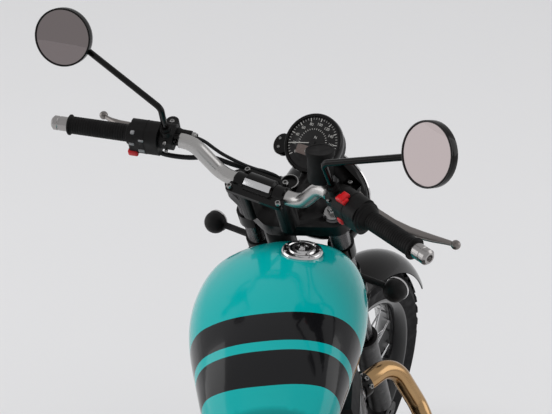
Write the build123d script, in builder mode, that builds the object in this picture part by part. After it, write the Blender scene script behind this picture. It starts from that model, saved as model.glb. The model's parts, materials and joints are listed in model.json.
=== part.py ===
from build123d import *
import os
from math import acos, asin, cos, degrees, hypot, radians, sin, sqrt

# Scrambler motorcycle with a parallel twin engine, twin rear shocks, wire wheels and a
# high-level exhaust. All sizes are millimetres.
# It is modelled upright, with x forward from the rear axle, y to the left and z up from
# the ground. What steers is modelled on the steering axis, from the top yoke. The last
# section turns the steering to its stop and leans the machine on to its side stand.

# Chassis
wheelbase = 1445
rake = 25.6
fork_offset = 44.7
fork_drop = 702
steer_at_rest = -31.3
steer_travel = 62.6
lean = -11.4

# Wheels and tyres
front_tyre_radius = 331
front_tyre_width = 100
front_rim_radius = 243
front_rim_width = 84
rear_tyre_radius = 321
rear_tyre_width = 150
rear_rim_radius = 217
rear_rim_width = 112
rim_depth = 20
rim_wall = 3.5
bead_height = 6
tyre_clearance = 0.2
spoke_count = 32
spoke_radius = 2.2
spoke_sweep = 38
axle_radius = 10
axle_clearance = 0.2
front_hub_half = 60
hub_flange_radius = 52
hub_core_radius = 26
front_disc_radius = 155
rear_disc_radius = 127
disc_thickness = 5
disc_band = 34

# Fork and yokes
leg_spacing = 216
stanchion_radius = 20.5
slider_radius = 27
slider_length = 300
slider_overlap = 70
yoke_gap = 190
top_yoke_at = 24
yoke_thickness = 28
stem_radius = 15
stem_clearance = 0.3
head_tube_radius = 29
head_gap = 5

# Handlebar and what it carries
bar_centre = (-12, 0, 130)
bar_end = (-94, 400, 234)
bar_outward = (-0.322, 1, 0.135)
bar_radius = 14.3
grip_bar_radius = 11.1
grip_radius = 17
grip_length = 125
bar_end_length = 30
bar_knee = 88
bar_shoulder = 262
bar_bend = 48

# Drive
sprocket_radius = 103
drive_sprocket_radius = 43
chain_y = 94
chain_width = 16
chain_height = 11
chain_pitch = 15.875
chain_gap = 1.5
drive_x = 630
drive_z = 392

# Frame
backbone_radius = 22
frame_tube_radius = 14
pivot_x = 545
pivot_z = 400
pivot_half = 66
plate_thickness = 14
arm_y = 125
arm_radius = 19
shock_y = 150
spring_radius = 27
rail_y = 95
rail_radius = 11
cross_x = 640
cross_z = 748
rear_guard_gap = 52
rear_guard_radius = rear_tyre_radius + rear_guard_gap
rail_z = rear_tyre_radius + rear_guard_radius + 32
shock_top = (165, rail_z - 58)
shock_foot = (30, rear_tyre_radius + 51)

# Engine
engine_half = 105
cover_depth = 62
bore_block_x = 866
bore_block_length = 150
bore_block_width = 236
block_bottom = 500
head_top = 690
fin_step = 15
fin_thickness = 4
fin_reach = 12
port_y = 104
port_z = 640
header_radius = 19
silencer_radius = 44
silencer_y = -234
silencer_length = 500

# Tank, seat and lamps
cap_position = (982, -55)
cap_radius = 39
lamp_centre = (152, 0, -84)
lamp_radius = 92
gauge_centre = (161, 0, 73)
gauge_radius = 60
mirror_centre = (-15, 375, 396)
mirror_radius = 54
indicator_reach = 217
indicator_drop = 150
indicator_radius = 24

# Side stand
stand_pivot = (600, 150, 236)
stand_foot_x = 690
stand_foot_y = 312
stand_folded = (-0.97, 0.15, -0.15)
stand_radius = 10
stand_pad = 8

fit = 0.3

axle_f = Vector(wheelbase, 0, front_tyre_radius)
axle_r = Vector(0, 0, rear_tyre_radius)
up_head = Vector(-sin(radians(rake)), 0, cos(radians(rake)))
ahead = Vector(cos(radians(rake)), 0, sin(radians(rake)))
head = axle_f - ahead * fork_offset + up_head * fork_drop
HEAD = Plane(origin=head, x_dir=ahead, z_dir=up_head)
leg_y = leg_spacing / 2


def rod(points, radius, bend=None):
    """Add a round bar along straight runs joined by arcs to the open part."""
    with BuildLine() as path:
        if bend is None:
            Polyline(*points)
        else:
            FilletPolyline(*points, radius=bend)
    with BuildSketch(Plane(origin=path.line @ 0, z_dir=path.line % 0)) as section:
        Circle(radius)
    sweep(section.sketch, path=path.line)


def disc_at(point, direction, radius, length, mode=Mode.ADD):
    """Add or cut a round boss that starts at a point and runs along a direction."""
    with BuildSketch(Plane(origin=point, z_dir=direction)) as section:
        Circle(radius)
    extrude(section.sketch, amount=length, mode=mode)


def both(points):
    """The same points on the right-hand side."""
    return [(x, -y, z) for x, y, z in points]


def tyre_rise(width):
    """How far the crown's arc stands above the tyre's shoulders."""
    return 0.4 * width + 6


def tread_points(radius, width):
    """Radius and y of the points across the tread, from one shoulder to the other."""
    rise = tyre_rise(width)
    bend = (rise**2 + (width / 2) ** 2) / (2 * rise)
    reach = acos((bend - rise) / bend)
    turns = [reach * i / 3 for i in range(-3, 4)]
    return [(radius - bend + bend * cos(turn), bend * sin(turn)) for turn in turns]


# Parked attitude: the machine leans to the left, its steering at rest on the right-hand
# stop, and it pitches until both tyres touch the ground.
TO_FRONT = HEAD.location * Location((0, 0, 0), (0, 0, steer_at_rest)) * Location((fork_offset, 0, -fork_drop))


def lowest(pose, points):
    """Height of a tyre's lowest point, its axle along the pose's y axis."""
    tilt = Plane(pose).y_dir.Z
    return pose.position.Z - max(r * sqrt(1 - tilt**2) + abs(y * tilt) for r, y in points)


pitch = 0.0
for _ in range(8):
    attitude = Location((0, 0, 0), (lean, 0, 0)) * Location((0, 0, 0), (0, pitch, 0))
    front_low = lowest(attitude * TO_FRONT, tread_points(front_tyre_radius, front_tyre_width))
    rear_low = lowest(attitude * Location(axle_r), tread_points(rear_tyre_radius, rear_tyre_width))
    pitch += degrees((front_low - rear_low) / wheelbase)
PARK = Location((0, 0, -rear_low)) * attitude
foot_down = (PARK.inverse() * Location((stand_foot_x, stand_foot_y, stand_pad))).position


# Tyres: round-shouldered rings seated between the rim's flanges.
def make_tyre(radius, width, rim_radius, rim_width):
    bead = rim_width / 2 - rim_wall - tyre_clearance
    base = rim_radius + tyre_clearance
    with BuildPart() as tyre:
        with BuildSketch(Plane.XY):
            with BuildLine():
                Polyline(
                    *tread_points(radius, width),
                    (rim_radius + bead_height + 2, bead),
                    (base, bead),
                    (base, -bead),
                    (rim_radius + bead_height + 2, -bead),
                    close=True,
                )
            make_face()
        revolve(axis=Axis.Y)
    return tyre


# Wheels: a channelled rim laced to a flanged hub with crossed spokes.
def make_wheel(rim_radius, rim_width, hub_half, flange_y):
    half = rim_width / 2
    well = rim_radius - rim_depth
    with BuildPart() as wheel:
        with BuildSketch(Plane.XY):
            with BuildLine():
                Polyline(
                    (rim_radius, half - rim_wall),
                    (rim_radius + bead_height, half - rim_wall),
                    (rim_radius + bead_height, half),
                    (rim_radius - rim_wall, half),
                    (well, 0.4 * half),
                    (well, -0.4 * half),
                    (rim_radius - rim_wall, -half),
                    (rim_radius + bead_height, -half),
                    (rim_radius + bead_height, rim_wall - half),
                    (rim_radius, rim_wall - half),
                    close=True,
                )
            make_face()
        revolve(axis=Axis.Y)
        with BuildSketch(Plane.XY):
            with BuildLine():
                Polyline(
                    (axle_radius + axle_clearance, -hub_half),
                    (hub_core_radius, -hub_half),
                    (hub_core_radius, -flange_y - 8),
                    (hub_flange_radius, -flange_y - 4),
                    (hub_flange_radius, -flange_y + 4),
                    (hub_core_radius + 4, -flange_y + 10),
                    (hub_core_radius + 4, flange_y - 10),
                    (hub_flange_radius, flange_y - 4),
                    (hub_flange_radius, flange_y + 4),
                    (hub_core_radius, flange_y + 8),
                    (hub_core_radius, hub_half),
                    (axle_radius + axle_clearance, hub_half),
                    close=True,
                )
            make_face()
        revolve(axis=Axis.Y)
        planes = []
        for i in range(spoke_count):
            side = 1 if i % 2 else -1
            turn = 1 if i % 4 < 2 else -1
            angle = 360 * i / spoke_count
            foot = Vector(hub_flange_radius - 6, 0, 0).rotate(Axis.Y, angle - turn * spoke_sweep)
            foot.Y = side * (flange_y + 3.5 * turn)
            tip = Vector(well + 2, 0, 0).rotate(Axis.Y, angle)
            tip.Y = side * 7
            planes.append(Plane(origin=foot, z_dir=tip - foot))
            reach = (tip - foot).length
        with BuildSketch(*planes) as spokes:
            RegularPolygon(spoke_radius, 6)
        extrude(spokes.sketch, amount=reach)
    return wheel


# Brake disc: a thin ring on a spider of arms.
def make_disc(radius, y, bolt_radius, arms):
    with BuildPart() as disc:
        with BuildSketch(Plane.XZ.offset(-y)):
            Circle(radius)
            Circle(radius - disc_band, mode=Mode.SUBTRACT)
            with PolarLocations((radius - disc_band + bolt_radius) / 2, arms):
                Rectangle(radius - disc_band - bolt_radius + 6, 16)
            Circle(bolt_radius + 4)
            Circle(hub_core_radius + fit, mode=Mode.SUBTRACT)
        extrude(amount=disc_thickness / 2, both=True)
    return disc


front_flange = 30
rear_flange = 34
front_disc_y = front_flange + 34
rear_disc_y = -chain_y
front_tyre = make_tyre(front_tyre_radius, front_tyre_width, front_rim_radius, front_rim_width)
rear_tyre = make_tyre(rear_tyre_radius, rear_tyre_width, rear_rim_radius, rear_rim_width)
front_wheel = make_wheel(front_rim_radius, front_rim_width, front_hub_half + 10, front_flange)
rear_wheel = make_wheel(rear_rim_radius, rear_rim_width, chain_y + 6, rear_flange)
front_disc = make_disc(front_disc_radius, front_disc_y, hub_flange_radius, 5)
rear_disc = make_disc(rear_disc_radius, rear_disc_y, hub_flange_radius, 5)

teeth = 41
with BuildPart() as rear_sprocket:
    with BuildSketch(Plane.XZ.offset(-chain_y)):
        Circle(sprocket_radius - 6)
        with PolarLocations(sprocket_radius - 5, teeth):
            Rectangle(9, 6)
        with PolarLocations(sprocket_radius * 0.7, 5):
            Circle(12, mode=Mode.SUBTRACT)
        Circle(hub_core_radius + fit, mode=Mode.SUBTRACT)
    extrude(amount=3, both=True)

# Chain: a band round both sprockets with the outer links on it.
reach = hypot(drive_x, drive_z - rear_tyre_radius)
run_up = degrees(asin((drive_z - rear_tyre_radius) / reach))
run_in = degrees(asin((sprocket_radius - drive_sprocket_radius) / reach))
loop_inner = chain_gap + 1


def chain_stations():
    """Place and angle of every other link, going once round the loop."""
    big = sprocket_radius + loop_inner + chain_height / 2
    small = drive_sprocket_radius + loop_inner + chain_height / 2
    straight = sqrt(reach**2 - (big - small) ** 2)
    stations = []
    # top run, drive sprocket, lower run, rear sprocket
    rear = Vector(0, rear_tyre_radius)
    drive = Vector(drive_x, drive_z)
    top = run_up - run_in
    low = run_up + run_in
    wrap_big = radians(180 + 2 * run_in) * big
    wrap_small = radians(180 - 2 * run_in) * small
    total = 2 * straight + wrap_big + wrap_small
    links = int(total / chain_pitch / 2)
    for i in range(links):
        s = total * i / links
        if s < straight:
            start = rear + Vector(big, 0).rotate(Axis.Z, top + 90)
            spot = start + Vector(s, 0).rotate(Axis.Z, top)
            angle = top
        elif s < straight + wrap_small:
            angle = top - degrees((s - straight) / small)
            spot = drive + Vector(small, 0).rotate(Axis.Z, angle + 90)
        elif s < 2 * straight + wrap_small:
            angle = low + 180
            start = drive + Vector(small, 0).rotate(Axis.Z, low - 90)
            spot = start + Vector(s - straight - wrap_small, 0).rotate(Axis.Z, angle)
        else:
            angle = low + 180 - degrees((s - 2 * straight - wrap_small) / big)
            spot = rear + Vector(big, 0).rotate(Axis.Z, angle + 90)
        stations.append(Location((spot.X, spot.Y, 0), (0, 0, angle)))
    return stations


def chain_outline(offset):
    with BuildSketch(mode=Mode.PRIVATE) as outline:
        with Locations((0, rear_tyre_radius)):
            Circle(sprocket_radius + offset)
        with Locations((drive_x, drive_z)):
            Circle(drive_sprocket_radius + offset)
        make_hull()
    return outline.sketch


with BuildPart() as chain:
    with BuildSketch(Plane.XZ.offset(-chain_y)):
        add(chain_outline(loop_inner + chain_height - 1.5))
        add(chain_outline(loop_inner + 1.5), mode=Mode.SUBTRACT)
    extrude(amount=chain_width / 2 - 2, both=True)
    with BuildSketch(Plane.XZ.offset(-chain_y)) as links:
        with Locations(chain_stations()):
            Rectangle(1.35 * chain_pitch, chain_height)
    extrude(links.sketch, amount=chain_width / 2, both=True)

# Side stand geometry: the leg runs from its pivot to the ground, and its hinge is square
# to both the leg's lowered and its folded direction.
stand_down = (foot_down - Vector(*stand_pivot)).normalized()
hinge = stand_down.cross(Vector(*stand_folded)).normalized()
pin_radius = 6
eye_radius = 16
eye_half = 12

# Main frame: head tube, backbone, two down tubes and the cradle under the engine.
head_foot = head - up_head * (yoke_gap - head_gap)
head_length = yoke_gap + top_yoke_at - yoke_thickness / 2 - 2 * head_gap
cradle_y = 92
cradle_rear_y = 68
cradle_rear_x = 610
cradle_z = 212
upright_y = 66
down_tube = [
    tuple(head - up_head * 150),
    (1032, 74, 640),
    (1010, 80, 330),
    (940, cradle_y, cradle_z),
    (cradle_rear_x, cradle_rear_y, cradle_z),
    (pivot_x, cradle_rear_y, pivot_z - 30),
]
with BuildPart() as main_frame:
    disc_at(head_foot, up_head, head_tube_radius, head_length)
    rod([tuple(head - up_head * 95), (cross_x, 0, cross_z)], backbone_radius)
    rod([(cross_x, -rail_y - 8, cross_z), (cross_x, rail_y + 8, cross_z)], frame_tube_radius + 2)
    rod(down_tube, frame_tube_radius, 45)
    rod(both(down_tube), frame_tube_radius, 45)
    for side in (-1, 1):
        upright = [
            (cross_x, side * upright_y, cross_z),
            (592, side * upright_y, 610),
            (pivot_x, side * cradle_rear_y, pivot_z + 30),
        ]
        rod(upright, frame_tube_radius, 60)
        disc_at((pivot_x, side * pivot_half, pivot_z), (0, side, 0), 44, plate_thickness)
    rod([(640, -cradle_rear_y, cradle_z), (640, cradle_rear_y, cradle_z)], frame_tube_radius - 3)
    disc_at(head + up_head * top_yoke_at, -up_head, stem_radius + stem_clearance, 300, Mode.SUBTRACT)
    lug = Vector(*stand_pivot) - hinge * (eye_half + 0.5)
    disc_at(lug, -hinge, 15, 15)
    disc_at(Vector(*stand_pivot) + hinge * (eye_half + 4), -hinge, pin_radius, 2 * eye_half + 8)
    rod([tuple(lug - hinge * 8), (stand_pivot[0] + 20, cradle_rear_y, cradle_z)], 8)

# Seat rails: a loop behind the backbone, with lugs for the shocks and stays to the cradle.
rail_end_x = -190
guard_mounts = (-120, 40)
bridge_z = rail_z - 12
bridge_radius = 8
rail_bend_x = 330
rail = [
    (cross_x, rail_y, cross_z),
    (rail_bend_x, rail_y, rail_z),
    (60, rail_y, rail_z - 10),
    (rail_end_x, 70, rail_z),
]
rail_loop = rail + [(rail_end_x - 20, 0, rail_z + 2)]
stay_radius = 10


def rail_line(x):
    """Height of the rails where they rise to the frame's cross tube, and behind that."""
    rise = max(0, x - rail_bend_x) / (cross_x - rail_bend_x)
    return rail_z + rise * (cross_z - rail_z)


with BuildPart() as seat_rails:
    rod(rail_loop, rail_radius, 30)
    rod(both(rail_loop), rail_radius, 30)
    for side in (-1, 1):
        stay_end = (563, side * (cradle_rear_y + frame_tube_radius + stay_radius - fit), 500)
        rod([(shock_top[0] + 40, side * rail_y, rail_z - 6), stay_end], stay_radius)
        disc_at((shock_top[0], side * (rail_y - 14), shock_top[1] + 26), (0, side, 0), 13, 20)
        disc_at((shock_top[0], side * rail_y, shock_top[1]), (0, side, 0), 12, shock_y - rail_y - 14)
        rod(
            [
                (shock_top[0], side * (rail_y + 8), shock_top[1]),
                (shock_top[0] + 8, side * rail_y, rail_z - 6),
            ],
            12,
        )
    for x in guard_mounts:
        rod([(x, -rail_y, bridge_z), (x, rail_y, bridge_z)], bridge_radius)
    disc_at((cross_x, -200, cross_z), (0, 1, 0), frame_tube_radius + 2 + fit, 400, Mode.SUBTRACT)

bobbin_x = 78
bobbin_z = rear_tyre_radius + 10
bobbin_face = 156
bobbin_depth = 20
bobbin_hole = 3.4

# Swingarm: pivot tube, two arms, a brace, shock lugs, the rear axle and the chain guard.
arm = [
    (pivot_x, 42, pivot_z),
    (pivot_x - 60, 42, pivot_z - 8),
    (pivot_x - 125, arm_y, pivot_z - 20),
    (0, arm_y, rear_tyre_radius),
]
with BuildPart() as swingarm:
    disc_at((pivot_x, -pivot_half + 2, pivot_z), (0, 1, 0), 25, 2 * pivot_half - 4)
    rod(arm, arm_radius, 50)
    rod(both(arm), arm_radius, 50)
    rod([(pivot_x - 110, -arm_y + 10, pivot_z - 16), (pivot_x - 110, arm_y - 10, pivot_z - 16)], 14)
    for side in (-1, 1):
        disc_at((0, side * (arm_y - 13), rear_tyre_radius), (0, side, 0), 30, 26)
        disc_at((shock_foot[0], side * arm_y, shock_foot[1]), (0, side, 0), 11, shock_y - arm_y - 14)
        rod(
            [
                (shock_foot[0] + 6, side * (arm_y + 2), rear_tyre_radius + 10),
                (shock_foot[0], side * (arm_y + 2), shock_foot[1]),
            ],
            7,
        )
        disc_at((0, side * (chain_y + 8), rear_tyre_radius), (0, side, 0), axle_radius + 5, 12)
        disc_at((0, side * (arm_y + 13), rear_tyre_radius), (0, side, 0), 15, 12)
        disc_at((bobbin_x, side * arm_y, bobbin_z), (0, side, 0), 11, bobbin_face - arm_y)
        mouth = (bobbin_x, side * bobbin_face, bobbin_z)
        disc_at(mouth, (0, -side, 0), bobbin_hole, bobbin_depth, Mode.SUBTRACT)
    disc_at((0, -arm_y, rear_tyre_radius), (0, 1, 0), axle_radius, 2 * arm_y)
    guard_z = rear_tyre_radius + sprocket_radius + 28
    with BuildSketch(Plane.XZ.offset(-chain_y + chain_width / 2 + 2)) as guard:
        with Locations((0, guard_z)):
            Polygon((-60, 0), (360, 10), (420, 0), (420, 14), (360, 26), (-70, 16), align=None)
    extrude(guard.sketch, amount=-chain_width - 10)
    rod([(250, chain_y + 12, guard_z + 10), (250, arm_y, rear_tyre_radius + 52)], 6)

# Rear shocks: eyes, a damper body and a spring drawn as a ribbed sleeve.
shock_line = Vector(shock_top[0] - shock_foot[0], 0, shock_top[1] - shock_foot[1])
shock_length = shock_line.length
coils = 9
with BuildPart() as shocks:
    for side in (-1, 1):
        foot = Vector(shock_foot[0], side * shock_y, shock_foot[1])
        with BuildSketch(Plane(origin=foot, x_dir=shock_line, z_dir=(0, 1, 0))) as profile:
            with BuildLine():
                coil_step = (shock_length - 110) / coils
                outline = [(16, 0), (16, 12), (40, 12), (40, spring_radius), (48, spring_radius)]
                for i in range(coils):
                    start = 50 + i * coil_step
                    outline.append((start, spring_radius - 6))
                    outline.append((start + 0.3 * coil_step, spring_radius - 1))
                    outline.append((start + 0.7 * coil_step, spring_radius - 1))
                outline.append((shock_length - 60, spring_radius - 6))
                outline.append((shock_length - 58, spring_radius))
                outline.append((shock_length - 40, spring_radius))
                outline.append((shock_length - 36, 14))
                outline.append((shock_length - 14, 12))
                outline.append((shock_length - 14, 0))
                Polyline(*outline, close=True)
            make_face()
        revolve(profile.sketch, axis=Axis(foot, shock_line))
        for spot in (foot, foot + shock_line):
            disc_at(spot - Vector(0, 13.7, 0), (0, 1, 0), 17, 27.4)

# Engine: crankcase with sump, gearbox and drive sprocket shaft.
case_top = block_bottom
case_front = bore_block_x + bore_block_length / 2 + 2
with BuildPart() as crankcase:
    with BuildSketch(Plane.XZ):
        with BuildLine():
            Polyline(
                (case_front - 25, case_top),
                (case_front, case_top - 40),
                (case_front, 330),
                (case_front - 60, 262),
                (case_front - 90, 240),
                (690, 240),
                (640, 268),
                (600, 320),
                (602, 450),
                (650, case_top - 20),
                (720, case_top),
                close=True,
            )
        make_face()
    extrude(amount=engine_half - 35, both=True)
    with BuildSketch(Plane.XZ):
        with Locations((785, 400)):
            Circle(96)
        with Locations((650, 395)):
            Circle(48)
        make_hull()
    extrude(amount=engine_half, both=True)
    with BuildSketch(Plane.XZ.offset(-engine_half)):
        with Locations((drive_x, drive_z)):
            Circle(drive_sprocket_radius + 18)
            with Locations((-70, -10)):
                Rectangle(140, 110)
    extrude(amount=30, mode=Mode.SUBTRACT)
    disc_at((drive_x, 0, drive_z), (0, 1, 0), 16, chain_y + 5)
    disc_at((drive_x, chain_y - 3, drive_z), (0, 1, 0), drive_sprocket_radius + loop_inner - fit, 6)
    with Locations((case_front - 12, 0, 360)):
        Cylinder(38, 70, rotation=(0, 90, 0))
    for side in (-1, 1):
        rod([(920, side * 55, 375), (960, side * 79, 375), (998.3, side * 79, 375)], 9, 15)
        rod([(800, side * 50, 252), (800, side * 80, 252), (800, side * 80, 226.6)], 9, 10)

# Side covers: domed lids over the alternator on the left and the clutch on the right.
covers = (
    # side, x, z, radius, depth, boss radius
    (1, 800, 400, 96, cover_depth, 62),
    (-1, 800, 392, 106, cover_depth, 74),
    (1, 672, 408, 52, 30, 34),
    (-1, 672, 400, 60, 40, 40),
)
with BuildPart() as engine_covers:
    for side, x, z, radius, depth, boss in covers:
        foot = Vector(x, side * engine_half, z)
        with BuildSketch(Plane(origin=foot, x_dir=(1, 0, 0), z_dir=(0, side, 0))) as lid:
            Circle(radius)
        extrude(lid.sketch, amount=0.6 * depth, taper=8)
        disc_at(foot, (0, side, 0), boss, depth)

# Cylinders and head: a finned block with the exhaust ports and the cam cover.
with BuildPart() as cylinders:
    with BuildSketch(Plane.XY.offset(block_bottom)):
        with Locations((bore_block_x, 0)):
            RectangleRounded(bore_block_length, bore_block_width, 18)
    extrude(amount=head_top - block_bottom)
    fins = int((head_top - block_bottom - 10) / fin_step)
    fin_planes = [Plane.XY.offset(block_bottom + 10 + i * fin_step) for i in range(fins)]
    with BuildSketch(*fin_planes) as fin_rings:
        with Locations((bore_block_x, 0)):
            Rectangle(bore_block_length + 2 * fin_reach, bore_block_width + 2 * fin_reach)
    extrude(fin_rings.sketch, amount=fin_thickness)
    with BuildSketch(Plane.XY.offset(head_top)):
        with Locations((bore_block_x, 0)):
            RectangleRounded(bore_block_length - 24, bore_block_width - 10, 30)
    extrude(amount=44, taper=12)
    for side in (-1, 1):
        port = (bore_block_x + bore_block_length / 2 - 5, side * port_y, port_z)
        disc_at(port, (1, 0, 0), header_radius + 9, 22)

# Intake: two throttle bodies between the head and the airbox.
intake_x = bore_block_x - bore_block_length / 2 - fin_reach - 4
with BuildPart() as throttle_bodies:
    for side in (-1, 1):
        disc_at((intake_x, side * 55, 650), (-1, 0, 0.12), 27, 58)
        disc_at((intake_x - 56, side * 55, 657), (-1, 0, 0.12), 33, 30)
    with BuildSketch(Plane.XZ):
        with BuildLine():
            box_x = intake_x - 82
            Polyline((box_x, 620), (box_x, 712), (530, 712), (510, 540), (575, 560), close=True)
        make_face()
    extrude(amount=upright_y - frame_tube_radius - 4, both=True)

# Radiator: a narrow core between the down tubes, with its tanks and cap.
with BuildPart() as radiator:
    with BuildSketch(Plane(origin=(1024, 0, 500), x_dir=(0, 1, 0), z_dir=(0.06, 0, 1))) as core:
        Rectangle(98, 34)
    extrude(core.sketch, amount=136)
    fillet(radiator.edges().filter_by(Axis.Y), 5)
    disc_at((1032, 26, 634), (0.06, 0, 1), 14, 16)
    for side in (-1, 1):
        disc_at((1027.6, side * 44, 560), (0, side, 0), 6, 75.5 - frame_tube_radius - fit - 44)

# Fuel tank: lofted through six sections, each with a crown arc and a side arc, with a
# tunnel underneath for the backbone and a seat for the cap.
tank_sections = (
    # x, top, shoulder y, shoulder z, base y, base z
    (1074, 912, 66, 903, 92, 815),
    (1060, 931, 88, 914, 114, 797),
    (1000, 950, 112, 922, 136, 784),
    (900, 953, 118, 923, 138, 780),
    (790, 936, 108, 906, 126, 776),
    (690, 900, 94, 872, 110, 774),
    (612, 852, 78, 830, 90, 775),
)
cap_plane = Plane(origin=(cap_position[0], cap_position[1], 943), z_dir=(0.03, -0.2, 1))
cap_sink = 4
tunnel_half = 34
with BuildPart() as fuel_tank:
    for x, top, shoulder_y, shoulder_z, base_y, base_z in tank_sections:
        with BuildSketch(Plane(origin=(x, 0, 0), x_dir=(0, 1, 0), z_dir=(1, 0, 0))):
            with BuildLine():
                crown = TangentArc((0, top), (shoulder_y, shoulder_z), tangent=(1, 0))
                flank = TangentArc((shoulder_y, shoulder_z), (base_y, base_z), tangent=crown % 1)
                Line((base_y, base_z), (0, base_z))
                mirror(about=Plane.YZ)
            make_face()
    loft()
    slope = (head.Z - 95 * up_head.Z - cross_z) / (head.X - 95 * up_head.X - cross_x)
    with BuildSketch(Plane.XZ):
        with BuildLine():
            Polyline(
                (600, 700),
                (600, cross_z + slope * (600 - cross_x) + backbone_radius + 10),
                (1100, cross_z + slope * (1100 - cross_x) + backbone_radius + 10),
                (1100, 700),
                close=True,
            )
        make_face()
    extrude(amount=tunnel_half, both=True, mode=Mode.SUBTRACT)
    disc_at(head + up_head * 60, -up_head, head_tube_radius + 6, 360, Mode.SUBTRACT)
    with BuildSketch(cap_plane.offset(-cap_sink)) as cap_seat:
        Circle(cap_radius + fit)
    extrude(cap_seat.sketch, amount=40, mode=Mode.SUBTRACT)
    for y in (-60, 60):
        disc_at((cross_x, y, cross_z + frame_tube_radius + 2 + fit), (0, 0, 1), 10, 20)

# Filler cap: a round lid on a ring, tilted with the tank's top.
with BuildPart() as filler_cap:
    with BuildSketch(cap_plane.offset(fit - cap_sink)):
        Circle(cap_radius)
    extrude(amount=10 + cap_sink - fit)
    with BuildSketch(cap_plane.offset(10)):
        Circle(cap_radius - 6)
    extrude(amount=5, taper=30)

# Seat: a long padded bench lofted through rounded sections.
seat_sections = (
    # x, bottom and top above the rails, width, corner radius
    (603, 22, 90, 150, 28),
    (520, 9, 69, 214, 28),
    (360, 8, 68, 262, 26),
    (180, 4, 74, 262, 28),
    (40, 2, 94, 236, 30),
    (-130, 6, 100, 206, 30),
)
with BuildPart() as seat:
    for x, bottom, top, width, corner in seat_sections:
        middle = (x, 0, rail_line(x) + (top + bottom) / 2)
        with BuildSketch(Plane(origin=middle, x_dir=(0, 1, 0), z_dir=(1, 0, 0))):
            RectangleRounded(width, top - bottom, corner)
    loft()
    for side in (rail, both(rail)):
        with BuildLine() as path:
            FilletPolyline(*side, radius=30)
        with BuildSketch(Plane(origin=path.line @ 0, z_dir=path.line % 0)) as groove:
            Circle(rail_radius + fit)
        sweep(groove.sketch, path=path.line, mode=Mode.SUBTRACT)


# Exhaust: two header pipes that cross to the right and run back to their silencers.
port_x = bore_block_x + bore_block_length / 2 + 17
pipe_back_x = 470
upper_pipe_z = 560
lower_pipe_z = 455
right_header = [
    (port_x - 18, 14 - port_y, port_z),
    (1050, -184, 642),
    (1052, silencer_y - 2, 500),
    (860, silencer_y - 2, 500),
    (pipe_back_x, silencer_y, upper_pipe_z),
]
left_header = [
    (port_x - 22, port_y, port_z + 20),
    (982, port_y, port_z - 50),
    (980, 60, 470),
    (980, -150, 425),
    (920, silencer_y + 8, 400),
    (pipe_back_x, silencer_y, lower_pipe_z),
]
with BuildPart() as headers:
    rod(right_header, header_radius, 54)
    rod(left_header, header_radius, 32)
    with Locations((port_x + fit - 40, 0, port_z)):
        Box(80, 3 * port_y, 120, mode=Mode.SUBTRACT)

# Silencers: two stacked cans that rise towards the tail, each with a narrower tip.
silencer_rise = 0.14
silencer_ahead = Vector(-1, 0, silencer_rise).normalized()
with BuildPart() as silencers:
    for z in (upper_pipe_z, lower_pipe_z):
        foot = Vector(pipe_back_x - 1.1, silencer_y, z)
        with BuildSketch(Plane(origin=foot, x_dir=silencer_ahead, z_dir=(0, -1, 0))) as profile:
            with BuildLine():
                Polyline(
                    (0, 0),
                    (0, header_radius + 3),
                    (60, silencer_radius - 3),
                    (60, silencer_radius),
                    (silencer_length - 20, silencer_radius),
                    (silencer_length, silencer_radius - 10),
                    (silencer_length + 10, 20),
                    (silencer_length + 40, 20),
                    (silencer_length + 40, 15),
                    (silencer_length - 10, 15),
                    (silencer_length - 10, 0),
                    close=True,
                )
            make_face()
        revolve(profile.sketch, axis=Axis(foot, silencer_ahead))

# Heat shields: curved shells over the straight runs of the pipes and the cans.
shields = (
    # start point, end point, pipe radius
    ((840, silencer_y - 1.8, 503.2), (500, silencer_y - 0.3, 555.2), header_radius),
)
with BuildPart() as heat_shields:
    for start, end, radius in shields:
        run = Vector(*end) - Vector(*start)
        with BuildSketch(Plane(origin=start, x_dir=(0, -1, 0), z_dir=run)) as shell:
            Circle(radius + 10)
            Circle(radius + 7, mode=Mode.SUBTRACT)
            with Locations((-2 * radius - 4, 0)):
                Rectangle(4 * radius, 6 * radius, mode=Mode.SUBTRACT)
        extrude(shell.sketch, amount=run.length)
    for start, end, radius in shields:
        run = (Vector(*end) - Vector(*start)).normalized()
        for step in (0.2, 0.8):
            spot = Vector(*start) + (Vector(*end) - Vector(*start)) * step
            disc_at(spot + Vector(0, -radius - fit, 0), (0, -1, 0), 7, 8)

# Rear mudguard: an arched shell over the tyre, hung from the seat rails.
rear_guard_half = 84


def mudguard(radius, half, crown, thickness, start, sweep):
    """Arched shell round an axle at the origin, from a start angle above the x axis."""
    bend = (crown**2 + half**2) / (2 * crown)
    shrink = (bend - thickness) / bend
    rim = radius - bend + (bend - crown) * shrink
    with BuildSketch(Plane.XY.rotated((0, -start, 0))) as section:
        with BuildLine():
            ThreePointArc((radius - crown, -half), (radius, 0), (radius - crown, half))
            Line((radius - crown, half), (rim, half * shrink))
            ThreePointArc((rim, half * shrink), (radius - thickness, 0), (rim, -half * shrink))
            Line((rim, -half * shrink), (radius - crown, -half))
        make_face()
    revolve(section.sketch, axis=Axis((0, 0, 0), (0, -1, 0)), revolution_arc=sweep)


with BuildPart() as rear_mudguard:
    mudguard(rear_guard_radius, rear_guard_half, 20, 3, 52, 104)
    strut_top = bridge_z - bridge_radius - fit - rear_tyre_radius
    for x in guard_mounts:
        strut_foot = sqrt((rear_guard_radius - 5) ** 2 - x**2)
        for y in (-30, 30):
            rod([(x, y, strut_foot), (x, y, strut_top)], 7)

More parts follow.
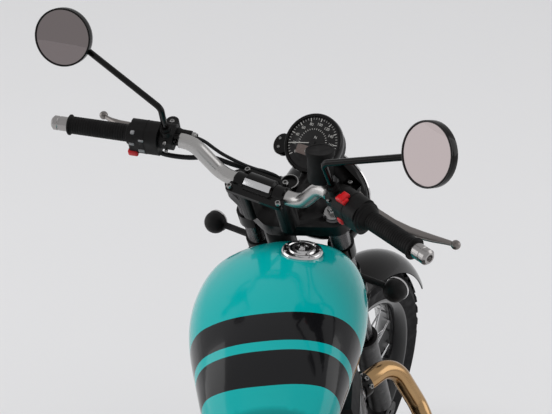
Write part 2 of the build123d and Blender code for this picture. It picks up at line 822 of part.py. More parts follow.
# Side panels: thin covers under the seat with rounded corners.
panel_y = 108
panel_thickness = 3
with BuildPart() as side_panels:
    with BuildSketch(Plane.XZ.offset(-panel_y - panel_thickness)) as outline:
        with BuildLine():
            Polyline(
                (390, rail_line(390) + 1),
                (575, rail_line(575) + 1),
                (540, 575),
                (440, 560),
                close=True,
            )
        make_face()
        fillet(outline.vertices(), 28)
    extrude(amount=panel_thickness)
    peg_length = panel_y - rail_y - rail_radius - fit + 1
    disc_at((480, rail_y + rail_radius + fit, rail_line(480) - 5), (0, 1, 0), 5, peg_length)
    mirror(about=Plane.XZ)

# Rear lamps: the tail lamp with the bracket for the blank number plate, and a round
# indicator on a stalk each side.
tail_x = rail_end_x - 62
tail_z = rail_z - 36
rear_indicator = (rail_end_x - 30, 118, tail_z - 22)


def indicator(centre, root, radius, facing):
    """A bullet-shaped lamp on a stalk, its lens facing one way."""
    facing = Vector(*facing).normalized()
    centre = Vector(*centre)
    with BuildSketch(Plane(origin=centre, x_dir=facing, z_dir=(0, 1, 0))) as half:
        with BuildLine():
            Line((-1.1 * radius, 0), (0.75 * radius, 0))
            Line((0.75 * radius, 0), (0.6 * radius, 0.7 * radius))
            Line((0.6 * radius, 0.7 * radius), (0.3 * radius, radius))
            Line((0.3 * radius, radius), (0, radius))
            TangentArc((-1.1 * radius, 0), (0, radius), tangent=(0, 1))
        make_face()
    revolve(half.sketch, axis=Axis(centre, facing))
    rod([tuple(root), tuple(centre)], 7)


with BuildPart() as rear_lamps:
    disc_at((tail_x + 26, 0, tail_z), (-1, 0, 0.1), 40, 30)
    disc_at((tail_x - 2, 0, tail_z + 2.8), (-1, 0, 0.1), 44, 26)
    hanger_top = rail_z + 2 - rail_radius - fit
    hanger_x = rail_end_x - 20
    rod([(tail_x + 20, 0, tail_z + 5), (hanger_x, 0, tail_z + 5), (hanger_x, 0, hanger_top)], 8, 8)
    plate_middle = (tail_x - 46, 0, tail_z - 90)
    with BuildSketch(Plane(origin=plate_middle, x_dir=(0, 1, 0), z_dir=(-1, 0, 0.35))) as plate:
        RectangleRounded(190, 150, 10)
    extrude(plate.sketch, amount=3)
    rod([(tail_x + 8, 0, tail_z - 18), (tail_x + 6, 0, tail_z - 60), (tail_x - 38, 0, tail_z - 75)], 7, 10)
    indicator(
        rear_indicator,
        (rail_end_x - 12, 52, tail_z + 21.3),
        indicator_radius,
        (-1, 0, 0),
    )
    mirror(about=Plane.XZ)

# Foot controls: pegs on brackets, the gear pedal on the left and the brake pedal on the right.
peg_x = 505
peg_z = 318
with BuildPart() as foot_controls:
    for side in (-1, 1):
        rod([(peg_x, side * 190, peg_z), (peg_x, side * 288, peg_z)], 15)
        rod(
            [
                (pivot_x + 4, side * (cradle_rear_y + frame_tube_radius + fit), pivot_z - 30),
                (pivot_x + 4, side * 124, pivot_z - 30),
                (peg_x, side * 150, peg_z),
                (peg_x, side * 192, peg_z),
            ],
            9,
            16,
        )
    toe = (peg_x + 165, 190, peg_z + 12)
    rod([(peg_x + 66, 190, peg_z - 20), toe, (toe[0], 262, toe[2])], 7, 12)
    rod([(peg_x + 66, 140, peg_z - 20), (peg_x + 66, 198, peg_z - 20)], 11)
    rod([(peg_x + 2, 160, peg_z), (peg_x + 66, 160, peg_z - 20)], 8)
    toe = (peg_x + 175, -196, peg_z - 4)
    rod([(peg_x + 40, -190, peg_z - 26), toe, (toe[0], -246, toe[2])], 7, 12)
    rod([(peg_x + 40, -140, peg_z - 26), (peg_x + 40, -198, peg_z - 26)], 11)
    rod([(peg_x + 2, -160, peg_z), (peg_x + 40, -160, peg_z - 26)], 8)


# Brake calipers: a block that bridges the disc's edge, drawn from the axle at an angle.
def caliper(axle, disc_y, disc_radius, angle, length):
    outward_dir = Vector(cos(radians(angle)), 0, sin(radians(angle)))
    spot = Vector(*axle) + outward_dir * disc_radius + Vector(0, disc_y, 0)
    with BuildSketch(Plane(origin=spot + Vector(0, -25, 0), x_dir=outward_dir, z_dir=(0, 1, 0))) as body:
        RectangleRounded(60, length, 14)
    extrude(body.sketch, amount=50)
    gap = disc_thickness / 2 + 5
    disc_at(Vector(*axle) + Vector(0, disc_y - gap, 0), (0, 1, 0), disc_radius + 6, 2 * gap, Mode.SUBTRACT)


with BuildPart() as rear_caliper:
    caliper((0, 0, rear_tyre_radius), rear_disc_y, rear_disc_radius, 40, 84)
    rod([(97, -122, rear_tyre_radius + 54), (97, -122, rear_tyre_radius + 33.9)], 5)

# Side stand: a leg that swings down and forward from a pivot under the left cradle tube.
with BuildPart() as side_stand:
    disc_at(Vector(*stand_pivot) - hinge * eye_half, hinge, eye_radius, 2 * eye_half)
    rod([stand_pivot, tuple(foot_down)], stand_radius)
    with BuildSketch(Plane(PARK.inverse() * Location((stand_foot_x, stand_foot_y, 0)))) as pad:
        SlotOverall(74, 44)
    extrude(pad.sketch, amount=stand_pad)
    disc_at(
        Vector(*stand_pivot) - hinge * 30, hinge, pin_radius + axle_clearance, 60, Mode.SUBTRACT
    )

# Fork: stanchions that slide into the lower legs, which hold the axle.
slider_top = slider_length - fork_drop
with BuildPart() as stanchions:
    for side in (-1, 1):
        disc_at(
            (fork_offset, side * leg_y, slider_top - slider_overlap + 8),
            (0, 0, 1),
            stanchion_radius,
            top_yoke_at + yoke_thickness / 2 + 5 - slider_top + slider_overlap - 8,
        )

with BuildPart() as sliders:
    for side in (-1, 1):
        foot = (fork_offset, side * leg_y, -fork_drop)
        disc_at((fork_offset, side * leg_y, slider_top), (0, 0, -1), slider_radius, slider_length - 30)
        disc_at((fork_offset, side * leg_y, slider_top), (0, 0, 1), slider_radius + 3, 14)
        disc_at((fork_offset, side * leg_y, -fork_drop + 36), (0, 0, -1), slider_radius - 5, 60)
        disc_at((fork_offset, side * (leg_y - 25), -fork_drop), (0, side, 0), 26, 48)
        spacer = leg_y - front_hub_half - 30
        disc_at((fork_offset, side * (front_hub_half + 11), -fork_drop), (0, side, 0), 15, spacer)
        mouth = (fork_offset, side * leg_y, slider_top + 20)
        bore = stanchion_radius + tyre_clearance
        disc_at(mouth, (0, 0, -1), bore, slider_overlap + 20, Mode.SUBTRACT)
    disc_at((fork_offset, -leg_y, -fork_drop), (0, 1, 0), axle_radius, leg_spacing)
    disc_at((fork_offset, -leg_y - 28, -fork_drop), (0, 1, 0), 5, 300, Mode.SUBTRACT)


def yoke_plate(height, boss):
    with BuildSketch(Plane.XY.offset(height)) as plate:
        Circle(boss)
        with Locations((fork_offset, leg_y), (fork_offset, -leg_y)):
            Circle(stanchion_radius + 11)
        make_hull()
        with Locations((fork_offset, leg_y), (fork_offset, -leg_y)):
            Circle(stanchion_radius + tyre_clearance, mode=Mode.SUBTRACT)
    extrude(plate.sketch, amount=yoke_thickness)


with BuildPart() as lower_yoke:
    yoke_plate(-yoke_gap - yoke_thickness, 34)
    stem_length = yoke_gap + top_yoke_at - yoke_thickness / 2 + 5 - fit
    disc_at((0, 0, -yoke_gap - 5), (0, 0, 1), stem_radius, stem_length)

# Top yoke with the two risers that carry the bar, and the ignition lock.
riser_y = 42
clamp_half = 25
split = 1
with BuildPart() as top_yoke:
    yoke_plate(top_yoke_at - yoke_thickness / 2, 30)
    for side in (-1, 1):
        with BuildSketch(Plane.XY.offset(top_yoke_at + yoke_thickness / 2 - 2)) as post:
            with Locations((bar_centre[0] + 2, side * riser_y)):
                RectangleRounded(40, 28, 10)
        extrude(post.sketch, amount=bar_centre[2] - top_yoke_at - yoke_thickness / 2 + 2 - split)
    disc_at((bar_centre[0], -90, bar_centre[2]), (0, 1, 0), bar_radius + tyre_clearance, 180, Mode.SUBTRACT)
    disc_at((54, -46, top_yoke_at), (0, 0, 1), 20, 44)

# Bar clamp: one cover over both risers with four bolt bosses.
cover_front = 41
cover_rear = 53
with BuildPart() as bar_clamp:
    with BuildSketch(Plane.XY.offset(bar_centre[2] + split)) as cover:
        with BuildLine():
            u0 = bar_centre[0] - clamp_half
            u1 = bar_centre[0] + clamp_half
            Polyline(
                (u0, -cover_rear - 9),
                (u1, -cover_front - 9),
                (u1, cover_front + 9),
                (u0, cover_rear + 9),
                close=True,
            )
        make_face()
        fillet(cover.vertices(), 8)
    extrude(cover.sketch, amount=bar_radius + 9, taper=8)
    disc_at((bar_centre[0], -90, bar_centre[2]), (0, 1, 0), bar_radius + tyre_clearance, 180, Mode.SUBTRACT)

# Handlebar: one bent tube, thick in the middle, with weights in its ends.
out = Vector(*bar_outward).normalized()
inward = -out
grip_ahead = (Vector(1, 0, 0) - inward * inward.X).normalized()
grip_up = inward.cross(grip_ahead)


def at_grip(x, y, t):
    """A point near the left grip: ahead of, above and inward from the bar's end."""
    return Vector(*bar_end) + grip_ahead * x + grip_up * y + inward * t


def grip_plane(x, y, t):
    return Plane(origin=at_grip(x, y, t), x_dir=grip_ahead, z_dir=inward)


knee = Vector(bar_centre[0], bar_knee, bar_centre[2])
thick_end = bar_shoulder - 12
half_bar = [tuple(knee), tuple(at_grip(0, 0, bar_shoulder + 12)), tuple(at_grip(0, 0, thick_end))]
with BuildPart() as handlebar:
    rod(both(half_bar[::-1]) + half_bar, bar_radius, bar_bend)
    disc_at(at_grip(0, 0, 0), inward, 14, bar_end_length - 2)
    disc_at(at_grip(0, 0, bar_end_length - 3), inward, grip_bar_radius, thick_end - bar_end_length + 5)
    with BuildSketch(grip_plane(0, 0, 0).rotated((180, 0, 0))) as tip:
        Circle(14)
    extrude(tip.sketch, amount=4, taper=45)
    mirror(about=Plane.XZ)

# Grips: rubber sleeves with a flange at each end.
grip_end = bar_end_length + grip_length
with BuildPart() as grips:
    disc_at(at_grip(0, 0, bar_end_length), inward, grip_radius, grip_length)
    disc_at(at_grip(0, 0, bar_end_length), inward, grip_radius + 3, 4)
    disc_at(at_grip(0, 0, grip_end - 5), inward, grip_radius + 4, 5)
    disc_at(at_grip(0, 0, 0), inward, grip_bar_radius + tyre_clearance, 300, Mode.SUBTRACT)
    mirror(about=Plane.XZ)

# Switch housings, perches and the brake reservoir, clamped round the bar.
pod_start = grip_end + 1
pod_length = 56
perch_start = pod_start + pod_length + 2
perch_length = 26
with BuildPart() as bar_controls:
    with BuildSketch(grip_plane(0, -4, pod_start)) as pod:
        RectangleRounded(52, 62, 18)
    extrude(pod.sketch, amount=pod_length)
    with BuildSketch(grip_plane(6, 0, perch_start)) as perch:
        RectangleRounded(48, 36, 12)
    extrude(perch.sketch, amount=perch_length)
    disc_at(at_grip(34, -10, perch_start + perch_length / 2), grip_up, 13, 20)
    disc_at(at_grip(-2, 10, perch_start + perch_length / 2), grip_up, 11, 20)
    disc_at(at_grip(0, 0, 0), inward, grip_bar_radius + tyre_clearance, 300, Mode.SUBTRACT)
    mirror(about=Plane.XZ)
    reservoir = at_grip(30, 40, perch_start + perch_length + 24)
    disc_at((reservoir.X, -reservoir.Y, reservoir.Z), (-0.1, 0, 1), 29, 52)
    disc_at((reservoir.X, -reservoir.Y, reservoir.Z + 52), (-0.1, 0, 1), 31, 8)
    master = at_grip(34, 0, perch_start)
    rod(
        [(master.X, -master.Y, master.Z), (reservoir.X, -reservoir.Y, reservoir.Z + 8)],
        12,
    )

# Levers: bent blades with a ball at the end, pivoting on the perches.
lever_t = perch_start + perch_length / 2
with BuildPart() as levers:
    rod(
        [
            tuple(at_grip(52, 0, lever_t - 3)),
            tuple(at_grip(62, 0, lever_t - 32)),
            tuple(at_grip(66, 0, 120)),
            tuple(at_grip(74, 0, 48)),
        ],
        5.5,
        22,
    )
    with Locations(at_grip(74, 0, 46)):
        Sphere(8.5)
    mirror(about=Plane.XZ)

# Mirrors: round heads on bent stems that stand on the perches.
mirror_face = Vector(-0.74, -0.325, 0.6).normalized()
stem_root = at_grip(-2, 30 + fit, lever_t)
mirror_back = Vector(*mirror_centre) - mirror_face * 14
with BuildPart() as mirrors:
    rod(
        [
            tuple(stem_root),
            tuple(stem_root + grip_up * 62),
            tuple(mirror_back - mirror_face * 10 + Vector(0, -30, -18)),
            tuple(mirror_back),
        ],
        6,
        12,
    )
    disc_at(Vector(*mirror_centre) - mirror_face * 12, mirror_face, mirror_radius, 12)
    with BuildSketch(Plane(origin=Vector(*mirror_centre) - mirror_face * 12, z_dir=-mirror_face)) as back:
        Circle(mirror_radius)
    extrude(back.sketch, amount=10, taper=50)
    mirror(about=Plane.XZ)

# Gauge: one round instrument in a cup ahead of the top yoke.
gauge_face = Vector(-0.45, 0, 0.89).normalized()
gauge_depth = 40
with BuildPart() as gauge:
    disc_at(Vector(*gauge_centre) - gauge_face * gauge_depth, gauge_face, gauge_radius - 6, gauge_depth)
    disc_at(Vector(*gauge_centre) - gauge_face * 14, gauge_face, gauge_radius, 16)
    rod(
        [
            (fork_offset + stanchion_radius + 11 + fit, 0, top_yoke_at),
            (fork_offset + 62, 0, top_yoke_at),
            (gauge_centre[0] - 16, 0, top_yoke_at + 18),
        ],
        9,
        12,
    )

# Headlamp: a deep bowl with its rim and lens, held by ears on the stanchions.
lamp_axis = Vector(cos(radians(rake)), 0, -sin(radians(rake)))
lamp = Vector(*lamp_centre)
ear_height = lamp_centre[2] + 18
with BuildPart() as headlamp:
    with BuildSketch(Plane(origin=lamp, x_dir=lamp_axis, z_dir=(0, -1, 0))) as bowl:
        with BuildLine():
            TangentArc((-88, 0), (10, lamp_radius - 4), tangent=(0, 1))
            Polyline((10, lamp_radius - 4), (12, lamp_radius), (30, lamp_radius), (36, lamp_radius - 8))
            TangentArc((50, 0), (36, lamp_radius - 8), tangent=(0, 1))
            Line((50, 0), (-88, 0))
        make_face()
    revolve(bowl.sketch, axis=Axis(lamp, lamp_axis))
    for side in (-1, 1):
        ear = (lamp_centre[0], side * leg_y, lamp_centre[2])
        rod([(lamp_centre[0], side * (lamp_radius - 12), lamp_centre[2]), ear], 12)
        rod([ear, (fork_offset, side * leg_y, ear_height)], 8)
        disc_at((fork_offset, side * leg_y, ear_height - 16), (0, 0, 1), stanchion_radius + 6, 32)
        below = (fork_offset, side * leg_y, ear_height - 40)
        disc_at(below, (0, 0, 1), stanchion_radius + tyre_clearance, 80, Mode.SUBTRACT)

# Front indicators on stalks from rings below the lamp's ears.
with BuildPart() as front_indicators:
    indicator(
        (fork_offset, indicator_reach, -indicator_drop),
        (fork_offset, leg_y + stanchion_radius, -indicator_drop),
        indicator_radius,
        tuple(lamp_axis),
    )
    disc_at((fork_offset, leg_y, -indicator_drop - 10), (0, 0, 1), stanchion_radius + 5, 20)
    below = (fork_offset, leg_y, -indicator_drop - 30)
    disc_at(below, (0, 0, 1), stanchion_radius + tyre_clearance, 60, Mode.SUBTRACT)
    mirror(about=Plane.XZ)

# Front mudguard round the tyre, on two stays to each lower leg. Drawn about the axle.
stay_z = 255
stay_boss_y = leg_y - slider_radius - fit
front_guard_radius = front_tyre_radius + 24
front_guard_half = front_tyre_width / 2 + 9
front_guard_crown = 36
with BuildPart() as front_mudguard:
    mudguard(front_guard_radius, front_guard_half, front_guard_crown, 3, 8, 136)
    for angle in (70, 112):
        edge = Vector(front_guard_radius - front_guard_crown, 0, 0).rotate(Axis.Y, -angle)
        edge.Y = front_guard_half
        rod([tuple(edge), (0, stay_boss_y - 10, stay_z)], 5)
    disc_at((0, stay_boss_y, stay_z), (0, -1, 0), 8, 18)
    mirror(about=Plane.XZ)

with BuildPart() as front_caliper:
    caliper((fork_offset, 0, -fork_drop), front_disc_y, front_disc_radius, 142, 88)
    rod([(-50, 92, -612), (fork_offset - slider_radius - fit, leg_y - 6, -606)], 8)

# Cables and hoses on the steering: each runs in the open from the bar to its end.
def right_grip(x, y, t):
    point = at_grip(x, y, t)
    return (point.X, -point.Y, point.Z)


perch_end = perch_start + perch_length + fit
pod_under = -35 - fit
yoke_front = fork_offset + stanchion_radius + 11
clutch_start = [tuple(at_grip(20, -6, perch_end)), tuple(at_grip(20, -6, perch_end + 22))]
loom_start = [tuple(at_grip(0, pod_under, 196)), tuple(at_grip(0, pod_under - 17, 196))]
throttle_start = [right_grip(10, pod_under, 190), right_grip(10, pod_under - 21, 190)]
hose_routes = (
    # radius, bend, y at the yoke, points from the bar
    (3.2, 26, -36, [(0, -166.8, 195.8), (60, -130, 190), (100, -70, 120)]),
    (3.4, 20, 22, clutch_start + [(16, 130, 165), (20, 96, 148), (34, 60, 112)]),
    (5, 14, 42, loom_start + [(-14, 158, 148), (8, 130, 146), (22, 74, 120)]),
    (3.2, 14, -60, throttle_start + [(34, -150, 160), (64, -100, 120)]),
)
with BuildPart() as cables:
    for radius, bend, yoke_y, points in hose_routes:
        guide = yoke_front + fit + radius
        rod(points + [(guide, yoke_y, 50), (guide, yoke_y, 0)], radius, bend)

# Every piece with the frame that it was drawn in.
UPRIGHT = PARK
STEERED = PARK * HEAD.location * Location((0, 0, 0), (0, 0, steer_at_rest))
FRONT_AXLE = STEERED * Location((fork_offset, 0, -fork_drop))
REAR_AXLE = PARK * Location(axle_r)
pieces = {
    "main_frame": (main_frame, UPRIGHT),
    "seat_rails": (seat_rails, UPRIGHT),
    "swingarm": (swingarm, UPRIGHT),
    "shocks": (shocks, UPRIGHT),
    "crankcase": (crankcase, UPRIGHT),
    "engine_covers": (engine_covers, UPRIGHT),
    "cylinders": (cylinders, UPRIGHT),
    "throttle_bodies": (throttle_bodies, UPRIGHT),
    "radiator": (radiator, UPRIGHT),
    "fuel_tank": (fuel_tank, UPRIGHT),
    "filler_cap": (filler_cap, UPRIGHT),
    "seat": (seat, UPRIGHT),
    "headers": (headers, UPRIGHT),
    "silencers": (silencers, UPRIGHT),
    "heat_shields": (heat_shields, UPRIGHT),
    "chain": (chain, UPRIGHT),
    "rear_mudguard": (rear_mudguard, REAR_AXLE),
    "side_panels": (side_panels, UPRIGHT),
    "rear_lamps": (rear_lamps, UPRIGHT),
    "foot_controls": (foot_controls, UPRIGHT),
    "rear_caliper": (rear_caliper, UPRIGHT),
    "side_stand": (side_stand, UPRIGHT),
    "stanchions": (stanchions, STEERED),
    "sliders": (sliders, STEERED),
    "lower_yoke": (lower_yoke, STEERED),
    "top_yoke": (top_yoke, STEERED),
    "bar_clamp": (bar_clamp, STEERED),
    "handlebar": (handlebar, STEERED),
    "grips": (grips, STEERED),
    "bar_controls": (bar_controls, STEERED),
    "levers": (levers, STEERED),
    "mirrors": (mirrors, STEERED),
    "gauge": (gauge, STEERED),
    "headlamp": (headlamp, STEERED),
    "front_indicators": (front_indicators, STEERED),
    "front_caliper": (front_caliper, STEERED),
    "cables": (cables, STEERED),
    "front_mudguard": (front_mudguard, FRONT_AXLE),
    "front_wheel": (front_wheel, FRONT_AXLE),
    "front_tyre": (front_tyre, FRONT_AXLE),
    "front_disc": (front_disc, FRONT_AXLE),
    "rear_wheel": (rear_wheel, REAR_AXLE),
    "rear_tyre": (rear_tyre, REAR_AXLE),
    "rear_disc": (rear_disc, REAR_AXLE),
    "rear_sprocket": (rear_sprocket, REAR_AXLE),
}

# The origin goes to the middle of the parked machine's box, on the ground.
parked = {name: pose * builder.part for name, (builder, pose) in pieces.items()}
boxes = [piece.bounding_box() for piece in parked.values()]
low = Vector(*[min(tuple(box.min)[i] for box in boxes) for i in range(3)])
high = Vector(*[max(tuple(box.max)[i] for box in boxes) for i in range(3)])
origin = Location((-(low.X + high.X) / 2, -(low.Y + high.Y) / 2, -low.Z))

os.makedirs("parts", exist_ok=True)
for name, piece in parked.items():
    placed = origin * piece
    placed.label = name
    export_step(placed, f"parts/{name}.step")

print("size", high - low, "pitch", pitch)


def report(name, pose, point, direction):
    spot = origin * pose * Location(point)
    tip = origin * pose * Location(Vector(*point) + Vector(*direction))
    axis = (tip.position - spot.position).normalized()
    print("axis", name, [round(v / 1000, 6) for v in spot.position], [round(v, 6) for v in axis])


report("steering", STEERED, (0, 0, 0), (0, 0, 1))
report("front_wheel", FRONT_AXLE, (0, 0, 0), (0, 1, 0))
report("rear_wheel", REAR_AXLE, (0, 0, 0), (0, 1, 0))
report("side_stand", UPRIGHT, stand_pivot, tuple(hinge))
report("bobbin_left", UPRIGHT, (bobbin_x, bobbin_face - bobbin_depth / 2, bobbin_z), (0, 1, 0))
report("bobbin_right", UPRIGHT, (bobbin_x, bobbin_depth / 2 - bobbin_face, bobbin_z), (0, -1, 0))
gap_left = at_grip(40, 0, 95)
report("gap_left", STEERED, tuple(gap_left), (0, 0, 1))
report("gap_right", STEERED, (gap_left.X, -gap_left.Y, gap_left.Z), (0, 0, 1))
folded_by = degrees(acos(stand_down.dot(Vector(*stand_folded).normalized())))
print("folded", round(folded_by, 2))
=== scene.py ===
import bmesh
import bpy
import math
from mathutils import Matrix, Vector
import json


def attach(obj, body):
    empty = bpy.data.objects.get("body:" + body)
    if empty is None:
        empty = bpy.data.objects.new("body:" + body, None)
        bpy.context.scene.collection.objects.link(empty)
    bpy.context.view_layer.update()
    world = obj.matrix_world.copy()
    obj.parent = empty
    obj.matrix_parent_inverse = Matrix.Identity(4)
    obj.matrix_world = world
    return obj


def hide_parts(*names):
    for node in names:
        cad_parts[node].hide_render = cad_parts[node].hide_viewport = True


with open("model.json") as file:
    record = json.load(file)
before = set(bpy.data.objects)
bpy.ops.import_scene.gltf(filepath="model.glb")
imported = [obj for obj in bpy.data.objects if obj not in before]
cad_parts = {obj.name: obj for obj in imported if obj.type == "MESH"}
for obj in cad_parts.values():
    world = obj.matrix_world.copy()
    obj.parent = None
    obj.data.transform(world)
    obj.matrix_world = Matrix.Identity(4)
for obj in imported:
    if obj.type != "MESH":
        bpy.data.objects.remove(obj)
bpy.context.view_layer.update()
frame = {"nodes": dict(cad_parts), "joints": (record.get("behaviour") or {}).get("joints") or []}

# The machine's own frames, in which sizes are millimetres. Upright pieces have x ahead of the
# rear axle, y to the left and z up from the ground; steered pieces have z up the steering axis
# from the top yoke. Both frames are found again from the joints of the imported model.
rake = math.radians(25.6)
joints = {joint["name"]: joint for joint in frame["joints"]}
stem = Vector(joints["steering"]["axis"])
steer_left = Vector(joints["front_wheel_spin"]["axis"])
bike_left = Vector(joints["rear_wheel_spin"]["axis"])
bike_ahead = bike_left.cross(stem) * math.cos(rake) - stem * math.sin(rake)
bike_up = bike_ahead.cross(bike_left)
steer_ahead = steer_left.cross(stem)
rear_axle = Vector(joints["rear_wheel_spin"]["pos_m"])
front_axle = Vector(joints["front_wheel_spin"]["pos_m"])
rear_tyre_radius = 321


def frame_of(ahead, left, up, origin):
    """Turns millimetres in a piece's own frame into the scene's metres."""
    place = Matrix((ahead, left, up)).transposed().to_4x4() @ Matrix.Scale(0.001, 4)
    place.translation = origin
    return place


bike = frame_of(bike_ahead, bike_left, bike_up, rear_axle - bike_up * rear_tyre_radius / 1000)
fork = frame_of(steer_ahead, steer_left, stem, Vector(joints["steering"]["pos_m"]))
front_hub = frame_of(steer_ahead, steer_left, stem, front_axle)
rear_hub = frame_of(bike_ahead, bike_left, bike_up, rear_axle)

# Camera: behind and above the rider's place, looking ahead along the machine. It is placed in
# the machine's own upright frame, so it keeps its view of a machine that leans.
camera_data = bpy.data.cameras.new("camera")
camera_data.sensor_width = 36
camera_data.lens = 82.95
camera = bpy.data.objects.new("camera", camera_data)
bpy.context.scene.collection.objects.link(camera)
look = (bike.to_3x3() @ Vector((0.89741, 0.14549, -0.41652))).normalized()
look_right = (bike.to_3x3() @ Vector((0.08199, -0.98262, -0.16657))).normalized()
view = Matrix((look_right, look_right.cross(look), -look)).transposed().to_4x4()
view.translation = bike @ Vector((-1105, -360.8, 2009.9))
camera.matrix_world = view
bpy.context.scene.camera = camera


# Studio: a broad sun through a white ceiling, and a large soft lamp at each side. The room
# itself is seen pale, is dimmer where metal and glass reflect it, and lights the machine faintly.
machine_middle = Vector((0.2, 0, 0.7))


def soft_lamp(name, kind, place, power):
    """A lamp that shines from its place at the machine's middle."""
    data = bpy.data.lights.new(name, kind)
    data.energy = power
    lamp = bpy.data.objects.new(name, data)
    bpy.context.scene.collection.objects.link(lamp)
    lamp.location = place
    toward = machine_middle - Vector(place)
    lamp.rotation_euler = toward.to_track_quat("-Z", "Y").to_euler()
    return lamp


sun = soft_lamp("ceiling_sun", "SUN", (0.2, 1.4, 5.0), 1.9)
sun.data.angle = math.radians(50)
sun.visible_glossy = False
soft_lamp("left_lamp", "AREA", (0.6, 4.2, 1.8), 34).data.size = 3
soft_lamp("right_lamp", "AREA", (0.8, -4.4, 2.6), 34).data.size = 3

room = bpy.data.worlds.new("pale_room")
bpy.context.scene.world = room
room.use_nodes = True
room_light = room.node_tree.nodes["Background"]
room_light.inputs["Color"].default_value = (0.9, 0.9, 0.91, 1)
rays = room.node_tree.nodes.new("ShaderNodeLightPath")
seen = rays.outputs["Is Camera Ray"]
for name in ("Is Glossy Ray", "Is Transmission Ray"):
    shown_too = room.node_tree.nodes.new("ShaderNodeMath")
    shown_too.operation = "MULTIPLY_ADD"
    shown_too.inputs[1].default_value = 0.5
    room.node_tree.links.new(rays.outputs[name], shown_too.inputs[0])
    room.node_tree.links.new(seen, shown_too.inputs[2])
    seen = shown_too.outputs["Value"]
room_shown = room.node_tree.nodes.new("ShaderNodeMapRange")
room_shown.inputs["To Min"].default_value = 0.3
room_shown.inputs["To Max"].default_value = 0.9
room.node_tree.links.new(seen, room_shown.inputs["Value"])
room.node_tree.links.new(room_shown.outputs["Result"], room_light.inputs["Strength"])
bpy.context.scene.view_settings.view_transform = "Standard"


# Floor: pale sealed concrete, plain and even, and wide enough to reach past every view of the
# machine.
def node_of(finish, kind, **inputs):
    """A new shader node with some of its sockets set."""
    node = finish.node_tree.nodes.new(kind)
    for name, value in inputs.items():
        node.inputs[name.replace("_", " ")].default_value = value
    return node


def wire(finish, source, target):
    """Join two sockets; a text target is a socket of the shader."""
    if isinstance(target, str):
        target = finish.node_tree.nodes["Principled BSDF"].inputs[target]
    finish.node_tree.links.new(source, target)


def noise_on(finish, scale, stretch=(1, 1, 1)):
    """Noise that follows the piece's own place, stretched along the real grain."""
    place = node_of(finish, "ShaderNodeTexCoord")
    turn = node_of(finish, "ShaderNodeMapping", Scale=stretch)
    noise = node_of(finish, "ShaderNodeTexNoise", Scale=scale, Detail=3)
    wire(finish, place.outputs["Object"], turn.inputs["Vector"])
    wire(finish, turn.outputs["Vector"], noise.inputs["Vector"])
    return noise.outputs["Fac"]


def mix_colours(finish, factor, first, second):
    """Blend two colours by a factor; gives the socket of the blend."""
    mix = node_of(finish, "ShaderNodeMix")
    mix.data_type = "RGBA"
    colours = [socket for socket in mix.inputs if socket.type == "RGBA"]
    colours[0].default_value = (*first, 1)
    colours[1].default_value = (*second, 1)
    wire(finish, factor, mix.inputs["Factor"])
    return [socket for socket in mix.outputs if socket.type == "RGBA"][0]


def new_finish(
    name, colour, rough, metal=0.0, coat=0.0, worn=None, scale=40, stretch=(1, 1, 1), bump=0.0
):
    """A finish whose roughness varies over the piece, and its colour and depth if asked."""
    finish = bpy.data.materials.new(name)
    finish.use_nodes = True
    shader = finish.node_tree.nodes["Principled BSDF"]
    shader.inputs["Base Color"].default_value = (*colour, 1)
    shader.inputs["Roughness"].default_value = rough
    shader.inputs["Metallic"].default_value = metal
    shader.inputs["Coat Weight"].default_value = coat
    shader.inputs["Coat Roughness"].default_value = 0.03
    shader.inputs["Specular IOR Level"].default_value = 0.2
    factor = noise_on(finish, scale, stretch)
    span = node_of(finish, "ShaderNodeMapRange", From_Min=0.3, From_Max=0.7)
    span.inputs["To Min"].default_value = rough * 0.85
    span.inputs["To Max"].default_value = rough * 1.2
    wire(finish, factor, span.inputs["Value"])
    wire(finish, span.outputs["Result"], "Roughness")
    if worn:
        wire(finish, mix_colours(finish, factor, colour, worn), "Base Color")
    if bump:
        relief = node_of(finish, "ShaderNodeBump", Strength=bump, Distance=0.0004)
        wire(finish, noise_on(finish, scale * 12, stretch), relief.inputs["Height"])
        wire(finish, relief.outputs["Normal"], "Normal")
    return finish


floor_finish = new_finish("sealed_concrete", (0.78, 0.78, 0.79), 0.55, scale=3)
floor_mesh = bmesh.new()
bmesh.ops.create_grid(floor_mesh, x_segments=1, y_segments=1, size=40)
floor_data = bpy.data.meshes.new("floor")
floor_mesh.to_mesh(floor_data)
floor_mesh.free()
floor_data.materials.append(floor_finish)
floor = bpy.data.objects.new("floor", floor_data)
bpy.context.scene.collection.objects.link(floor)


# Frame, rails, swingarm, stand and yokes: welded steel tube and castings in satin black powder
# coat with a faint orange peel. The brake calipers are bolted on and finished alike.
def make_piece(name, shell, body, finish, place=None, crease=35):
    """Put a finished mesh into the scene, in its place, on its body."""
    if place is not None:
        bmesh.ops.transform(shell, matrix=place, verts=shell.verts)
        if place.determinant() < 0:
            bmesh.ops.reverse_faces(shell, faces=shell.faces)
    for face in shell.faces:
        face.smooth = True
    data = bpy.data.meshes.new(name)
    shell.to_mesh(data)
    shell.free()
    data.set_sharp_from_angle(angle=math.radians(crease))
    data.materials.append(finish)
    piece = bpy.data.objects.new(name, data)
    bpy.context.scene.collection.objects.link(piece)
    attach(piece, body)
    return piece


def dress(name, node, body, finish, crease=35, bevel=0.0):
    """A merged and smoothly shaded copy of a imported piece, in its own finish."""
    shell = bmesh.new()
    shell.from_mesh(frame["nodes"][node].data)
    bmesh.ops.remove_doubles(shell, verts=shell.verts, dist=0.00002)
    piece = make_piece(name, shell, body, finish, crease=crease)
    if bevel:
        edge = piece.modifiers.new("edge", "BEVEL")
        edge.width = bevel
        edge.segments = 2
        edge.limit_method = "ANGLE"
        edge.angle_limit = math.radians(45)
    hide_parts(node)
    return piece


